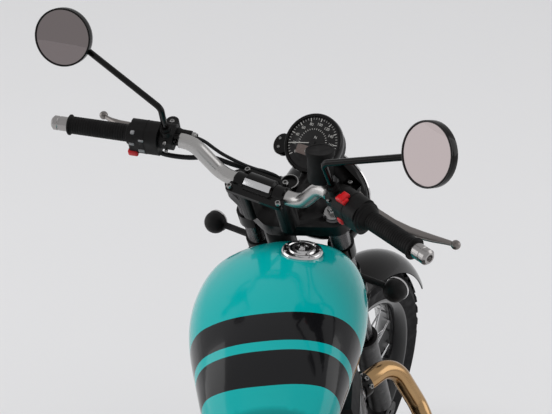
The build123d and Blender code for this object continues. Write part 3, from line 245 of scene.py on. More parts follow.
frame_black = new_finish("satin_black_powder", (0.006, 0.0056, 0.0056), 0.38, scale=60, bump=0.12)
for node in ("main_frame", "seat_rails", "swingarm", "rear_caliper"):
    dress(node + "_coated", node, "frame", frame_black)
dress("side_stand_coated", "side_stand", "side_stand", frame_black)
for node in ("lower_yoke", "top_yoke", "front_caliper"):
    dress(node + "_coated", node, "steering", frame_black)


# Engine: cast crankcase and finned barrels in satin black, the fins' edges machined bright, with
# brushed alloy side covers held by rings of cap screws.
def turned(profile, steps):
    """A solid turned about z from its outline of radii and heights."""
    shell = bmesh.new()
    points = [shell.verts.new((radius, 0, height)) for radius, height in profile]
    edges = [shell.edges.new(pair) for pair in zip(points, points[1:])]
    bmesh.ops.spin(
        shell,
        geom=points + edges,
        cent=(0, 0, 0),
        axis=(0, 0, 1),
        angle=math.tau,
        steps=steps,
        use_merge=True,
    )
    bmesh.ops.remove_doubles(shell, verts=shell.verts, dist=0.001)
    bmesh.ops.recalc_face_normals(shell, faces=shell.faces)
    return shell


def facing(centre, axis, up=(0, 0, 1)):
    """A place at a centre, its z along an axis and its y as near as may be to up."""
    z = Vector(axis).normalized()
    x = Vector(up).cross(z).normalized()
    place = Matrix((x, z.cross(x), z)).transposed().to_4x4()
    place.translation = centre
    return place


def join(target, part, place):
    """Add a small shape to a larger one at its place there."""
    bmesh.ops.transform(part, matrix=place, verts=part.verts)
    if place.determinant() < 0:
        bmesh.ops.reverse_faces(part, faces=part.faces)
    data = bpy.data.meshes.new("shape")
    part.to_mesh(data)
    part.free()
    target.from_mesh(data)
    bpy.data.meshes.remove(data)


def cap_screw(radius, height):
    """The head of a socket cap screw, seated on z = 0."""
    rim = [(radius, 0), (radius, height * 0.8), (radius * 0.88, height)]
    socket = [(radius * 0.55, height), (radius * 0.5, height * 0.4), (0, height * 0.4)]
    return turned([(0, 0)] + rim + socket, 12)


engine_black = new_finish("engine_black", (0.014, 0.014, 0.015), 0.5, scale=45, bump=0.25)
dress("crankcase_cast", "crankcase", "frame", engine_black, bevel=0.003)
cover_alloy = new_finish(
    "brushed_cover_alloy", (0.42, 0.42, 0.43), 0.3, metal=1.0, scale=30, stretch=(1, 1, 8), bump=0.1
)
barrels = dress("barrels_cast", "cylinders", "frame", engine_black, bevel=0.0008)
barrels.data.materials.append(cover_alloy)
into_bike = bike.inverted()
barrels_x = 866
fin_edge_ahead = 86.5
fin_edge_aside = 129.5
for face in barrels.data.polygons:
    spot = into_bike @ face.center
    if abs(spot.x - barrels_x) > fin_edge_ahead or abs(spot.y) > fin_edge_aside:
        face.material_index = 1
dress("covers_brushed", "engine_covers", "frame", cover_alloy, bevel=0.002)
dress("foot_controls_alloy", "foot_controls", "frame", cover_alloy)
bolt_steel = new_finish("zinc_bolt_steel", (0.34, 0.335, 0.33), 0.26, metal=1.0, scale=90)
screws = bmesh.new()
cover_face_y = 135
head_top_z = 733
cover_screws = (
    # side, x, z, ring radius, count
    (1, 800, 400, 85, 9),
    (-1, 800, 392, 95, 10),
    (1, 672, 408, 44, 5),
)
for side, x, z, ring, count in cover_screws:
    for step in range(count):
        turn = math.tau * step / count
        spot = (x + ring * math.cos(turn), side * cover_face_y, z + ring * math.sin(turn))
        join(screws, cap_screw(4.5, 12), facing(spot, (0, side, 0)))
for ahead in (-51, 0, 51):
    for aside in (-85, 85):
        spot = (barrels_x + ahead, aside, head_top_z)
        join(screws, cap_screw(6, 6), facing(spot, (0, 0, 1)))
make_piece("engine_screws", screws, "frame", bolt_steel, bike)


# Intake and radiator: a moulded airbox with its throttle bodies, and a black radiator core with
# thin fins across it.
def block(size):
    """A plain box about the origin."""
    shell = bmesh.new()
    bmesh.ops.create_cube(shell, size=1)
    bmesh.ops.scale(shell, vec=size, verts=shell.verts)
    return shell


moulded_black = new_finish(
    "moulded_black_plastic", (0.005, 0.0046, 0.0046), 0.5, scale=80, bump=0.15
)
dress("airbox_moulded", "throttle_bodies", "frame", moulded_black, bevel=0.003)
core_black = new_finish("radiator_black", (0.02, 0.02, 0.022), 0.5)
dress("radiator_core", "radiator", "frame", core_black)
fins = bmesh.new()
core_foot = Vector((1024, 0, 505))
core_rise = Vector((0.24, 0, 4))
for row in range(32):
    join(fins, block((36, 88, 1)), Matrix.Translation(core_foot + core_rise * row))
make_piece("radiator_fins", fins, "frame", core_black, bike)


# Exhaust: header pipes bronzed by heat, clamped to the ports by studded flanges, the right one
# also by a strap with three screws, and two brushed steel silencers with strapped black end caps.
def outward(turn):
    """The way out from z at a turn in degrees."""
    return Vector((math.cos(math.radians(turn)), math.sin(math.radians(turn)), 0))


heated_steel = new_finish(
    "heat_tinted_steel", (0.34, 0.17, 0.065), 0.2, metal=1.0, worn=(0.6, 0.42, 0.22), scale=7
)
dress("headers_heated", "headers", "frame", heated_steel)
along_can = (0.2, 1, 1)
silencer_steel = new_finish(
    "brushed_silencer_steel", (0.52, 0.51, 0.5), 0.28, metal=1.0, scale=35, stretch=along_can, bump=0.12
)
dress("silencers_brushed", "silencers", "frame", silencer_steel)
dress("heat_shield_coated", "heat_shields", "frame", frame_black)
flanges = bmesh.new()
studs = bmesh.new()
screw_rise = Vector((0, 0, 10))
for side in (-1, 1):
    collar = turned([(20, 0), (31, 0), (33, 2), (33, 9), (31, 11), (20, 11), (20, 0)], 32)
    port = facing((959, side * 104, 640), (1, 0, 0))
    join(flanges, collar, port)
    for turn in (45, 135, 225, 315):
        spot = port @ (outward(turn) * 28 + screw_rise)
        join(studs, cap_screw(5.5, 9), facing(spot, (1, 0, 0)))
pipe_line = Vector((109, -94, 2)).normalized()
strap_place = facing(Vector((941, -90, 640)) + pipe_line * 42, pipe_line)
outline = [(19.1, 0), (24, 0), (25, 2), (25, 18), (24, 20), (19.1, 20), (19.1, 0)]
join(flanges, turned(outline, 32), strap_place)
for turn in (95, 130, 165):
    screw_place = facing(outward(turn) * 24 + screw_rise, outward(turn))
    join(studs, cap_screw(5, 7), strap_place @ screw_place)
rise = Vector((-1, 0, 0.14)).normalized()
can_radius = 43.8
strap_radius = 45.6
for z in (455, 560):
    foot = Vector((468.9, -234, z))
    for along, width in ((72, 16), (360, 14)):
        outline = [(can_radius, 0), (strap_radius, 0), (strap_radius, width), (can_radius, width)]
        join(studs, turned(outline + [(can_radius, 0)], 48), facing(foot + rise * along, rise))
    outline = [(can_radius, 0), (45.2, 0), (45.2, 40), (35.6, 60), (21, 70), (21, 100)]
    outline += [(19, 100), (19, 70), (34, 60), (can_radius, 40), (can_radius, 0)]
    join(flanges, turned(outline, 48), facing(foot + rise * 440, rise))
make_piece("exhaust_flanges", flanges, "frame", frame_black, bike)
make_piece("exhaust_studs", studs, "frame", bolt_steel, bike)

# Rear shocks: a black damper body inside a black coil spring, between two collars, with an eye
# at each end for its pin.
shocks = bmesh.new()
springs = bmesh.new()
shock_y = 150
wire_radius = 4
turns = 8.5
steps_a_turn = 18
line = Vector((135, 0, 296))
reach = line.length
coil_length = reach - 117
for side in (-1, 1):
    shock = facing((30, side * shock_y, 372), line, up=(0, 1, 0))
    outline = [(0, 14), (12, 14), (13, 38), (26, 40), (27, 42), (27, 48), (14, 50)]
    outline += [(14, reach - 60), (27, reach - 58), (27, reach - 42), (20, reach - 38)]
    outline += [(13, reach - 34), (12, reach - 14), (0, reach - 14)]
    join(shocks, turned(outline, 24), shock)
    for height in (0, reach):
        eye = turned([(7, -13.6), (17, -13.6), (17, 13.6), (7, 13.6), (7, -13.6)], 24)
        join(shocks, eye, shock @ facing((0, 0, height), (0, 1, 0), up=(1, 0, 0)))
    coil = bmesh.new()
    start = facing((22.6, 0, 54), (0, 1, 0))
    bmesh.ops.create_circle(coil, segments=10, radius=wire_radius, matrix=start)
    bmesh.ops.spin(
        coil,
        geom=coil.verts[:] + coil.edges[:],
        cent=(0, 0, 0),
        axis=(0, 0, 1),
        dvec=(0, 0, coil_length / (turns * steps_a_turn)),
        angle=math.tau * turns,
        steps=int(turns * steps_a_turn),
    )
    bmesh.ops.recalc_face_normals(coil, faces=coil.faces)
    join(springs, coil, shock)
damper_black = new_finish("damper_black", (0.012, 0.012, 0.013), 0.3, metal=0.4)
shocks = make_piece("shock_dampers", shocks, "frame", damper_black, bike)
springs = make_piece("shock_springs", springs, "frame", frame_black, bike)
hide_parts("shocks")
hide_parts("shocks")

# Fork: dark polished stanchions in black anodised lower legs, clamped by the yokes and closed by
# steel caps with hexagonal heads.
chrome = new_finish("bright_chrome", (0.66, 0.65, 0.65), 0.12, metal=1.0, scale=25)
tube_grey = new_finish("polished_tube_grey", (0.11, 0.108, 0.11), 0.26, metal=1.0, scale=90)
leg_black = new_finish(
    "anodised_leg_black", (0.018, 0.017, 0.017), 0.32, metal=0.5, scale=90, bump=0.1
)
dress("stanchions_polished", "stanchions", "steering", tube_grey)
dress("fork_legs_anodised", "sliders", "steering", leg_black, bevel=0.0015)
fork_caps = bmesh.new()
leg_x = 44.7
leg_y = 108
for side in (-1, 1):
    cap = turned([(0, 0), (19, 0), (19, 3), (17, 5), (0, 5)], 32)
    join(fork_caps, cap, Matrix.Translation((leg_x, side * leg_y, 43)))
    head = turned([(0, 0), (11, 0), (11, 6), (9, 8), (0, 8)], 6)
    join(fork_caps, head, Matrix.Translation((leg_x, side * leg_y, 48)))
make_piece("fork_caps", fork_caps, "steering", bolt_steel, fork)

# Wheels: gloss black steel rims and hubs laced with bright steel spokes, drilled steel brake
# discs on black carriers bolted to the hubs, and a steel rear sprocket.
rim_black = new_finish("gloss_black_rim", (0.01, 0.01, 0.011), 0.16, coat=0.6, scale=30)
spoke_steel = new_finish("bright_spoke_steel", (0.66, 0.66, 0.67), 0.16, metal=1.0, scale=60)
flange_radius = 58
wheels = (
    # node, hub, largest spoke radius
    ("front_wheel", front_hub, 221),
    ("rear_wheel", rear_hub, 195),
)
for node, hub, spoke_reach in wheels:
    wheel = dress(node + "_laced", node, node, rim_black)
    wheel.data.materials.append(spoke_steel)
    into_hub = hub.inverted()
    for face in wheel.data.polygons:
        spot = into_hub @ face.center
        if flange_radius < math.hypot(spot.x, spot.z) < spoke_reach:
            face.material_index = 1


def drilled_ring(inner, outer, thick, rows, count, hole):
    """A flat ring across z with staggered rows of drilled holes."""
    shell = bmesh.new()
    deep = (outer - inner) / rows
    step = math.tau / count
    for row in range(rows):
        middle = inner + (row + 0.5) * deep
        turn = step / 2 * (row % 2)
        place = Matrix.Rotation(turn, 4, "Z") @ Matrix.Translation((middle, 0, 0))
        drill = bmesh.ops.create_circle(shell, segments=8, radius=hole, matrix=place)["verts"]
        edges = [edge for edge in shell.edges if edge.verts[0] in drill]
        cell = bmesh.ops.create_circle(shell, segments=8, radius=1)["verts"]
        edges += [edge for edge in shell.edges if edge.verts[0] in cell]
        for vert in cell:
            along = round(vert.co.x * 1.2)
            round_by = turn + round(vert.co.y * 1.2) * step / 2
            vert.co.x = (middle + along * deep / 2) * math.cos(round_by)
            vert.co.y = (middle + along * deep / 2) * math.sin(round_by)
        bmesh.ops.bridge_loops(shell, edges=edges)
    everything = shell.verts[:] + shell.edges[:] + shell.faces[:]
    last = math.tau - step
    bmesh.ops.spin(
        shell, geom=everything, axis=(0, 0, 1), angle=last, steps=count - 1, use_duplicate=True
    )
    bmesh.ops.remove_doubles(shell, verts=shell.verts, dist=0.01)
    bmesh.ops.solidify(shell, geom=shell.faces[:], thickness=thick)
    bmesh.ops.recalc_face_normals(shell, faces=shell.faces)
    middle = sum(vert.co.z for vert in shell.verts) / len(shell.verts)
    bmesh.ops.translate(shell, vec=(0, 0, -middle), verts=shell.verts)
    return shell


disc_steel = new_finish(
    "ground_disc_steel", (0.5, 0.5, 0.51), 0.28, metal=1.0, worn=(0.4, 0.4, 0.41), scale=60
)
disc_thickness = 5.6
drill_radius = 4
for end in ("front", "rear"):
    dress(end + "_disc_carrier", end + "_disc", end + "_wheel", frame_black)
discs = (
    # end, hub, inner radius, outer radius, holes in a row, y
    ("front", front_hub, 122, 154.6, 40, 64),
    ("rear", rear_hub, 94, 126.6, 34, -94),
)
for end, hub, inner, outer, holes, y in discs:
    ring = drilled_ring(inner, outer, disc_thickness, 2, holes, drill_radius)
    across = hub @ facing((0, y, 0), (0, 1, 0))
    make_piece(end + "_disc_drilled", ring, end + "_wheel", disc_steel, across)
chain_steel = new_finish(
    "oiled_chain_steel", (0.12, 0.115, 0.105), 0.34, metal=1.0, worn=(0.32, 0.31, 0.29), scale=55
)
dress("rear_sprocket_steel", "rear_sprocket", "rear_wheel", chain_steel)

# Drive chain: oiled steel rollers between inner and outer plates, riveted, in one loop round
# both sprockets on the left. Its radius is big on the rear one and small on the drive one.
big = 111
small = 51
pitch = 15.875
half_link = 7.9
chain_y = 94
drive_x = 630
drive_z = 392
run = math.hypot(drive_x, drive_z - rear_tyre_radius)
rise = math.atan2(drive_z - rear_tyre_radius, drive_x)
tilt = math.asin((big - small) / run)
straight = math.sqrt(run**2 - (big - small) ** 2)
front_wrap = (math.pi - 2 * tilt) * small
rear_wrap = (math.pi + 2 * tilt) * big
whole = 2 * straight + front_wrap + rear_wrap
links = 2 * round(whole / pitch / 2)
chain = bmesh.new()
for link in range(links):
    along = whole * link / links
    if along < straight:
        turn = rise - tilt
        spot = Vector((along, big, 0))
        spot.rotate(Matrix.Rotation(turn, 3, "Z"))
        spot += Vector((0, rear_tyre_radius, 0))
    elif along < straight + front_wrap:
        turn = rise - tilt - (along - straight) / small
        spot = Vector((drive_x - small * math.sin(turn), drive_z + small * math.cos(turn), 0))
    elif along < 2 * straight + front_wrap:
        turn = rise + tilt + math.pi
        spot = Vector((along - straight - front_wrap, small, 0))
        spot.rotate(Matrix.Rotation(turn, 3, "Z"))
        spot += Vector((drive_x, drive_z, 0))
    else:
        turn = rise + tilt + math.pi - (along - 2 * straight - front_wrap) / big
        spot = Vector((-big * math.sin(turn), rear_tyre_radius + big * math.cos(turn), 0))
    ahead = Vector((math.cos(turn), 0, math.sin(turn)))
    above = Vector((-ahead.z, 0, ahead.x))
    place = Matrix((ahead, above, ahead.cross(above))).transposed().to_4x4()
    place.translation = (spot.x, chain_y, spot.y)
    for side in (-1, 1):
        plate = bmesh.new()
        outline = bmesh.ops.create_circle(plate, cap_ends=True, segments=12, radius=5.4)["verts"]
        for vert in outline:
            vert.co.x += half_link * ((vert.co.x > 0.1) - (vert.co.x < -0.1))
        raised = bmesh.ops.extrude_face_region(plate, geom=plate.faces[:])
        lifted = [item for item in raised["geom"] if isinstance(item, bmesh.types.BMVert)]
        bmesh.ops.translate(plate, vec=(0, 0, 1.8), verts=lifted)
        bmesh.ops.recalc_face_normals(plate, faces=plate.faces)
        gap = 3.6 if link % 2 else 5.6
        join(chain, plate, place @ Matrix.Translation((0, 0, side * gap - 0.9)))
    pin = [(0, -7.9), (2.4, -7.9), (2.4, -3), (4.9, -3), (4.9, 3), (2.4, 3), (2.4, 7.9), (0, 7.9)]
    join(chain, turned(pin, 7), place @ Matrix.Translation((half_link, 0, 0)))
chain = make_piece("chain_links", chain, "frame", chain_steel, bike)
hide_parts("chain")


# Tyres: matt black rubber carcasses on the rims' seats, with rows of raised tread blocks that
# taper to their tops and stand apart at the shoulders.
def block_tyre(radius, width, bead_radius, bead, steps):
    """A tyre about z whose tread blocks reach the given radius."""
    groove = 6
    rise = 0.4 * width + 6
    bend = (rise**2 + (width / 2) ** 2) / (2 * rise)
    reach = math.acos((bend - rise) / bend)
    rows = 10
    outline = [(bead_radius, -bead), (bead_radius + 8, -bead - 4)]
    for row in range(rows + 1):
        turn = reach * (2 * row / rows - 1)
        low = groove if abs(turn) < reach * 0.9 else 0
        crown = (bend - low) * math.cos(turn)
        outline.append((radius - bend + crown, (bend - low) * math.sin(turn)))
    outline += [(bead_radius + 8, bead + 4), (bead_radius, bead), (bead_radius, -bead)]
    shell = turned(outline, steps)
    blocks = []
    shoulders = []
    for face in shell.faces:
        middle = face.calc_center_median()
        across = middle.z
        column = int((math.atan2(middle.y, middle.x) / math.tau + 1) * steps + 0.01)
        if abs(across) > width * 0.36 or face.normal.xy.dot(middle.xy) < 0:
            continue
        if abs(across) > width * 0.3:
            if column % 2:
                shoulders.append(face)
        elif (column + int(abs(across) > width * 0.14)) % 2:
            blocks.append(face)
    bmesh.ops.inset_individual(shell, faces=blocks, thickness=0.8, depth=groove * 0.96)
    bmesh.ops.inset_individual(shell, faces=shoulders, thickness=1.2, depth=groove * 0.8)
    return shell


tyre_rubber = new_finish("tyre_rubber", (0.011, 0.011, 0.012), 0.74, scale=50, bump=0.3)
tyres = (
    # name, radius, width, bead radius, bead, steps, hub
    ("front_tyre", 331, 100, 243.4, 38, 96, front_hub),
    ("rear_tyre", rear_tyre_radius, 150, 217.4, 52, 80, rear_hub),
)
for node, radius, width, bead_radius, bead, steps, hub in tyres:
    tyre = block_tyre(radius, width, bead_radius, bead, steps)
    wheel = node.replace("tyre", "wheel")
    across = facing((0, 0, 0), (0, 1, 0))
    tyre = make_piece(node + "_blocks", tyre, wheel, tyre_rubber, hub @ across)
    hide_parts(node)

# Mudguards and side panels: pressed sheet in gloss black paint, the panels with slightly rounded
# edges.
gloss_black = new_finish("gloss_black_paint", (0.003, 0.0026, 0.0025), 0.12, coat=0.04, scale=20)
dress("front_mudguard_gloss", "front_mudguard", "steering", gloss_black)
dress("rear_mudguard_gloss", "rear_mudguard", "frame", gloss_black)
dress("side_panels_gloss", "side_panels", "frame", gloss_black, bevel=0.001)

# Tank: a pressed and seam-welded steel tank in gloss turquoise, crossed by two black bands that
# sweep forward towards its sides. The bands are painted by place on the machine.
turquoise = (0.0, 0.41, 0.405)
band_black = (0.006, 0.006, 0.007)
band_sweep = 0.25
band_bend = 60
front_band_x = 739
front_band_half = 30
rear_band_x = 662
rear_band_half = 29
tank_paint = new_finish("banded_tank_paint", turquoise, 0.14, coat=0.25, scale=14)
here = node_of(tank_paint, "ShaderNodeTexCoord")
placed = node_of(tank_paint, "ShaderNodeMapping")
placed.vector_type = "TEXTURE"
placed.inputs["Location"].default_value = bike.translation
placed.inputs["Rotation"].default_value = bike.to_euler()
placed.inputs["Scale"].default_value = (0.001, 0.001, 0.001)
parts = node_of(tank_paint, "ShaderNodeSeparateXYZ")
wire(tank_paint, here.outputs["Object"], placed.inputs["Vector"])
wire(tank_paint, placed.outputs["Vector"], parts.inputs["Vector"])


def math_on(finish, operation, *values):
    """A sum done by the shader on sockets or plain values."""
    step = node_of(finish, "ShaderNodeMath")
    step.operation = operation
    for index, value in enumerate(values):
        if isinstance(value, (int, float)):
            step.inputs[index].default_value = value
        else:
            wire(finish, value, step.inputs[index])
    return step.outputs["Value"]


aside = parts.outputs["Y"]
bent = math_on(tank_paint, "SQRT", math_on(tank_paint, "MULTIPLY_ADD", aside, aside, band_bend**2))
swept = math_on(tank_paint, "MULTIPLY_ADD", bent, -band_sweep, parts.outputs["X"])
front_band = math_on(tank_paint, "COMPARE", swept, front_band_x, front_band_half)
rear_band = math_on(tank_paint, "COMPARE", swept, rear_band_x, rear_band_half)
banded = math_on(tank_paint, "MAXIMUM", front_band, rear_band)
wire(tank_paint, mix_colours(tank_paint, banded, turquoise, band_black), "Base Color")
dress("tank_painted", "fuel_tank", "frame", tank_paint, crease=50)


# Filler cap: a chromed lid in a ring held by seven screws, with a hinged key cover in its dished
# middle. It stands on the tank's top, right of the middle.
def key(size, edge):
    """A small block with rounded edges."""
    shell = block(size)
    bmesh.ops.bevel(
        shell, geom=shell.edges[:], offset=edge, affect="EDGES", segments=3, profile=0.5, material=-1
    )
    return shell


cap_base = facing((982, -55, 943), (0.03, -0.2, 1), up=(1, 0, 0))
outline = [(0, -3), (38.8, -3), (38.8, 4), (37, 7), (33, 8.5), (29, 8), (27.5, 6), (26, 6), (24, 9)]
outline += [(18, 11), (12, 9.5), (0, 9)]
cap = turned(outline, 64)
for step in range(7):
    turn = math.tau * step / 7
    spot = (33 * math.cos(turn), 33 * math.sin(turn), 6)
    join(cap, cap_screw(2.4, 3), Matrix.Translation(spot))
join(cap, key((11, 30, 5), 2.2), Matrix.Translation((0, 3, 11)))
cap = make_piece("filler_cap_chromed", cap, "frame", chrome, bike @ cap_base)
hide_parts("filler_cap")

# Handlebar: a tapered alloy bar, brushed, with a turned steel weight screwed into each end. The
# finer weights take the place of the bar's own ends.
bar_alloy = new_finish(
    "brushed_bar_alloy", (0.48, 0.47, 0.46), 0.28, metal=1.0, stretch=(1, 0.1, 1), bump=0.08
)
inward = -Vector((-0.322, 1, 0.135)).normalized()
grip_ahead = (Vector((1, 0, 0)) - inward * inward.x).normalized()
left_grip = Matrix((grip_ahead, inward.cross(grip_ahead), inward)).transposed().to_4x4()
left_grip.translation = (-94, 400, 234)
right_grip = Matrix.Diagonal((1, -1, 1, 1)) @ left_grip
bar = dress("handlebar_brushed", "handlebar", "steering", bar_alloy)


def drop(piece, unwanted):
    """Cut away the vertices of a dressed piece that a finer shape takes the place of."""
    shell = bmesh.new()
    shell.from_mesh(piece.data)
    gone = [vert for vert in shell.verts if unwanted(vert.co)]
    bmesh.ops.delete(shell, geom=gone, context="VERTS")
    shell.to_mesh(piece.data)
    shell.free()


into_left = (fork @ left_grip).inverted()
into_right = (fork @ right_grip).inverted()
bar_cut = 27
drop(bar, lambda spot: min((into_left @ spot).z, (into_right @ spot).z) < bar_cut)
weight_steel = new_finish(
    "turned_weight_steel", (0.4, 0.385, 0.38), 0.2, metal=1.0, stretch=(1, 1, 6)
)
weights = bmesh.new()
for grip in (left_grip, right_grip):
    outline = [(0, 2), (5, 2), (5, -1), (7, -1), (7, -4), (10, -4), (14, 0), (14, 8)]
    outline += [(13, 9), (13, 11), (14, 12), (14, 30), (0, 30)]
    join(weights, turned(outline, 40), grip)
make_piece("bar_end_weights", weights, "steering", weight_steel, fork)

# Grips: moulded rubber sleeves with fine ribs between a flange at each end, the inner one a
# little wider.
grip_rubber = new_finish("grip_rubber", (0.005, 0.0046, 0.0046), 0.62, scale=60, bump=0.2)
sleeves = bmesh.new()
outline = [(11.4, 30), (19, 30), (20, 31), (20, 33), (19, 34), (17, 35)]
for step in range(22):
    start = 37 + step * 5
    outline += [(17, start), (16.3, start + 0.7), (16.3, start + 1.7), (17, start + 2.4)]
outline += [(17, 148), (20.5, 150), (21, 152), (21, 154), (20, 155), (11.4, 155), (11.4, 30)]
for grip in (left_grip, right_grip):
    join(sleeves, turned(outline, 40), grip)
sleeves = make_piece("grips_ribbed", sleeves, "steering", grip_rubber, fork, crease=25)
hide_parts("grips")

# Switch housings: moulded halves with a seam between them, grey and red keys, the clutch and
# brake perches clamped beside them, and the round reservoir on the brake perch.
controls = dress("bar_controls_moulded", "bar_controls", "steering", moulded_black, bevel=0.003)
into_fork = fork.inverted()
old_base = Vector((14.9, -154.5, 240.6))
old_line = Vector((-0.1, 0, 1)).normalized()


def on_reservoir(spot):
    """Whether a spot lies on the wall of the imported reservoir."""
    apart = into_fork @ spot - old_base
    height = apart.dot(old_line)
    return -8 < height < 80 and 20 < (apart - old_line * height).length < 38


drop(controls, on_reservoir)


def round_uprights(shell, corner, steps):
    """Round the upright edges of a block."""
    uprights = [edge for edge in shell.edges if abs(edge.verts[0].co.z - edge.verts[1].co.z) > 1]
    bmesh.ops.bevel(
        shell, geom=uprights, offset=corner, affect="EDGES", segments=steps, profile=0.5, material=-1
    )


key_red = new_finish("moulded_red", (0.62, 0.012, 0.016), 0.35, coat=0.3)
key_grey = new_finish("printed_grey", (0.3, 0.3, 0.31), 0.5)
red_keys = bmesh.new()
grey_keys = bmesh.new()
keys = (
    # colour, grip, size, edge, place along the grip's own axes
    (red_keys, left_grip, (12, 14, 20), 3.4, (-23, -26, 161)),
    (red_keys, right_grip, (20, 12, 15), 2.5, (-6, 28, 194)),
    (red_keys, right_grip, (13, 9, 24), 2.5, (-10, 27, 194)),
    (red_keys, right_grip, (8, 13, 14), 3, (-25, -16, 198)),
    (grey_keys, left_grip, (8, 8, 8), 2, (-15, 23, 165)),
    (grey_keys, left_grip, (3, 7, 10), 1, (-26, 3, 163)),
    (grey_keys, left_grip, (3, 8, 12), 1, (-26, -14, 180)),
    (grey_keys, left_grip, (3, 4, 10), 1, (-26, 16, 183)),
)
for colour, grip, size, edge, spot in keys:
    join(colour, key(size, edge), grip @ Matrix.Translation(spot))
make_piece("red_keys", red_keys, "steering", key_red, fork)
make_piece("grey_keys", grey_keys, "steering", key_grey, fork)
seams = bmesh.new()
perch_screws = bmesh.new()
perch = 227
for grip in (left_grip, right_grip):
    band = block((53, 63, 1.4))
    round_uprights(band, 18.4, 6)
    join(seams, band, grip @ Matrix.Translation((0, -4, 186)))
    for up in (-12, 12):
        join(perch_screws, cap_screw(3.4, 4), grip @ facing((-18, up, perch), (-1, 0, 0)))
    join(perch_screws, cap_screw(4.4, 3), grip @ facing((34, 10, perch), (0, 1, 0)))
    nut = turned([(6.4, 0), (9.5, 0), (9.5, 7), (6.4, 7), (6.4, 0)], 6)
    join(seams, nut, grip @ facing((-2, 30.5, perch), (0, 1, 0)))
outline = [(17, 138), (20, 141), (22, 146), (24, 147), (25, 151), (27, 152), (27, 157), (17, 157)]
join(seams, turned(outline + [(17, 138)], 40), right_grip)
reservoir = facing((-15.7, -148.5, 226), (0.42, 0.1, 0.9))
outline = [(0, 0), (21, 0), (23, 3), (23, 50), (25.6, 51), (26, 53), (26, 59), (25, 60)]
outline += [(23, 60), (22, 58.8), (0, 58.8)]
join(seams, turned(outline, 48), reservoir)
make_piece("housing_seams", seams, "steering", grip_rubber, fork)
make_piece("perch_screws", perch_screws, "steering", bolt_steel, fork)


# Levers: forged and polished alloy blades, flat and broad near the perch and narrow at the end,
# each with a ball at its tip.
def lofted(rings, sides):
    """A solid through oval rings, each a centre and its half sizes along x and y."""
    shell = bmesh.new()
    last = []
    for x, y, z, wide, high in rings:
        place = Matrix.Translation((x, y, z)) @ Matrix.Diagonal((wide, high, 1, 1))
        ends = (x, y, z, wide, high) in (rings[0], rings[-1])
        ring = bmesh.ops.create_circle(shell, cap_ends=ends, segments=sides, radius=1, matrix=place)
        edges = list({edge for vert in ring["verts"] for edge in vert.link_edges})
        if last:
            bmesh.ops.bridge_loops(shell, edges=last + edges)
        last = edges
    bmesh.ops.recalc_face_normals(shell, faces=shell.faces)
    return shell


lever_alloy = new_finish("polished_lever_alloy", (0.24, 0.22, 0.21), 0.3, metal=1.0, scale=25)
blades = bmesh.new()
blade_runs = (
    # grip, rings of ahead, up, along the grip, half width, half thickness
    (
        left_grip,
        [
            (30, -8, 236, 7, 6),
            (36, -20, 230, 9, 7),
            (41, -30, 214, 9.5, 6),
            (45, -36, 190, 8.5, 5),
            (47, -38, 160, 8, 4.6),
            (48, -40, 130, 7.6, 4.4),
            (52, -43, 106, 7, 4.2),
            (60, -48, 86, 5.6, 4),
            (72, -57, 70, 4.4, 3.8),
            (79, -61, 62, 4, 3.6),
        ],
    ),
    (
        right_grip,
        [
            (30, -8, 236, 7, 6),
            (36, -20, 230, 9, 7),
            (37, -42, 212, 11, 7),
            (40, -56, 190, 11, 6.4),
            (46, -67, 160, 10.4, 6),
            (53, -72, 128, 10, 5.6),
            (60, -72, 100, 9.2, 5),
            (67, -70, 72, 7.6, 4.6),
            (73, -66, 46, 5.4, 4),
            (76, -63, 28, 4, 3.6),
        ],
    ),
)
for grip, rings in blade_runs:
    blade = lofted(rings, 16)
    tip = Matrix.Translation(rings[-1][:3])
    bmesh.ops.create_uvsphere(blade, u_segments=20, v_segments=12, radius=8.5, matrix=tip)
    join(blades, blade, grip)
blades = make_piece("levers_polished", blades, "steering", lever_alloy, fork, crease=60)
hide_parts("levers")

# Mirrors: round glasses, slightly domed, in thin black rims on bent black stems that rise from
# the perches.
dress("mirrors_black", "mirrors", "steering", gloss_black, bevel=0.0008)
mirror_silver = new_finish("silvered_glass", (0.27, 0.235, 0.235), 0.02, metal=1.0)
glasses = bmesh.new()
rims = bmesh.new()
for side in (-1, 1):
    glass_place = facing((-15, side * 375, 396), (-0.74, -0.325 * side, 0.6))
    dome = [(0, 0.2), (50.8, 0.2), (50.8, 0.7), (30, 1.4), (0, 1.8)]
    join(glasses, turned(dome, 64), glass_place)
    outline = [(50.6, 0), (54, 0), (54, 1.6), (53, 2.6), (51.4, 2.6), (50.6, 1.6), (50.6, 0)]
    join(rims, turned(outline, 64), glass_place)
make_piece("mirror_glasses", glasses, "steering", mirror_silver, fork)
make_piece("mirror_rims", rims, "steering", gloss_black, fork)

# Bar clamp: one forged cover, crowned over the bar, held by four cap screws, with a blank
# silver plate let into its rear slope.
clamp = block((62, 128, 7))
front_taper = 50 / 62
bmesh.ops.translate(clamp, vec=(-15, 0, 134.6), verts=clamp.verts)
for vert in clamp.verts:
    if vert.co.x > 0:
        vert.co.y *= front_taper
round_uprights(clamp, 9, 4)
for radius, half in ((18, 57), (23, 32)):
    crown = [(0, -half), (radius - 4, -half), (radius, 4 - half)]
    crown += [(radius, half - 4), (radius - 4, half), (0, half)]
    over_bar = facing((-12, 0, 130), (0, 1, 0))
    saddle = turned(crown, 48)
    bmesh.ops.transform(saddle, matrix=over_bar, verts=saddle.verts)
    everything = saddle.verts[:] + saddle.edges[:] + saddle.faces[:]
    bmesh.ops.bisect_plane(
        saddle, geom=everything, plane_co=(0, 0, 131.4), plane_no=(0, 0, 1), clear_inner=True
    )
    join(clamp, saddle, Matrix.Identity(4))
clamp = make_piece("bar_clamp_crowned", clamp, "steering", gloss_black, fork, crease=30)
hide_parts("bar_clamp")
clamp_screws = bmesh.new()
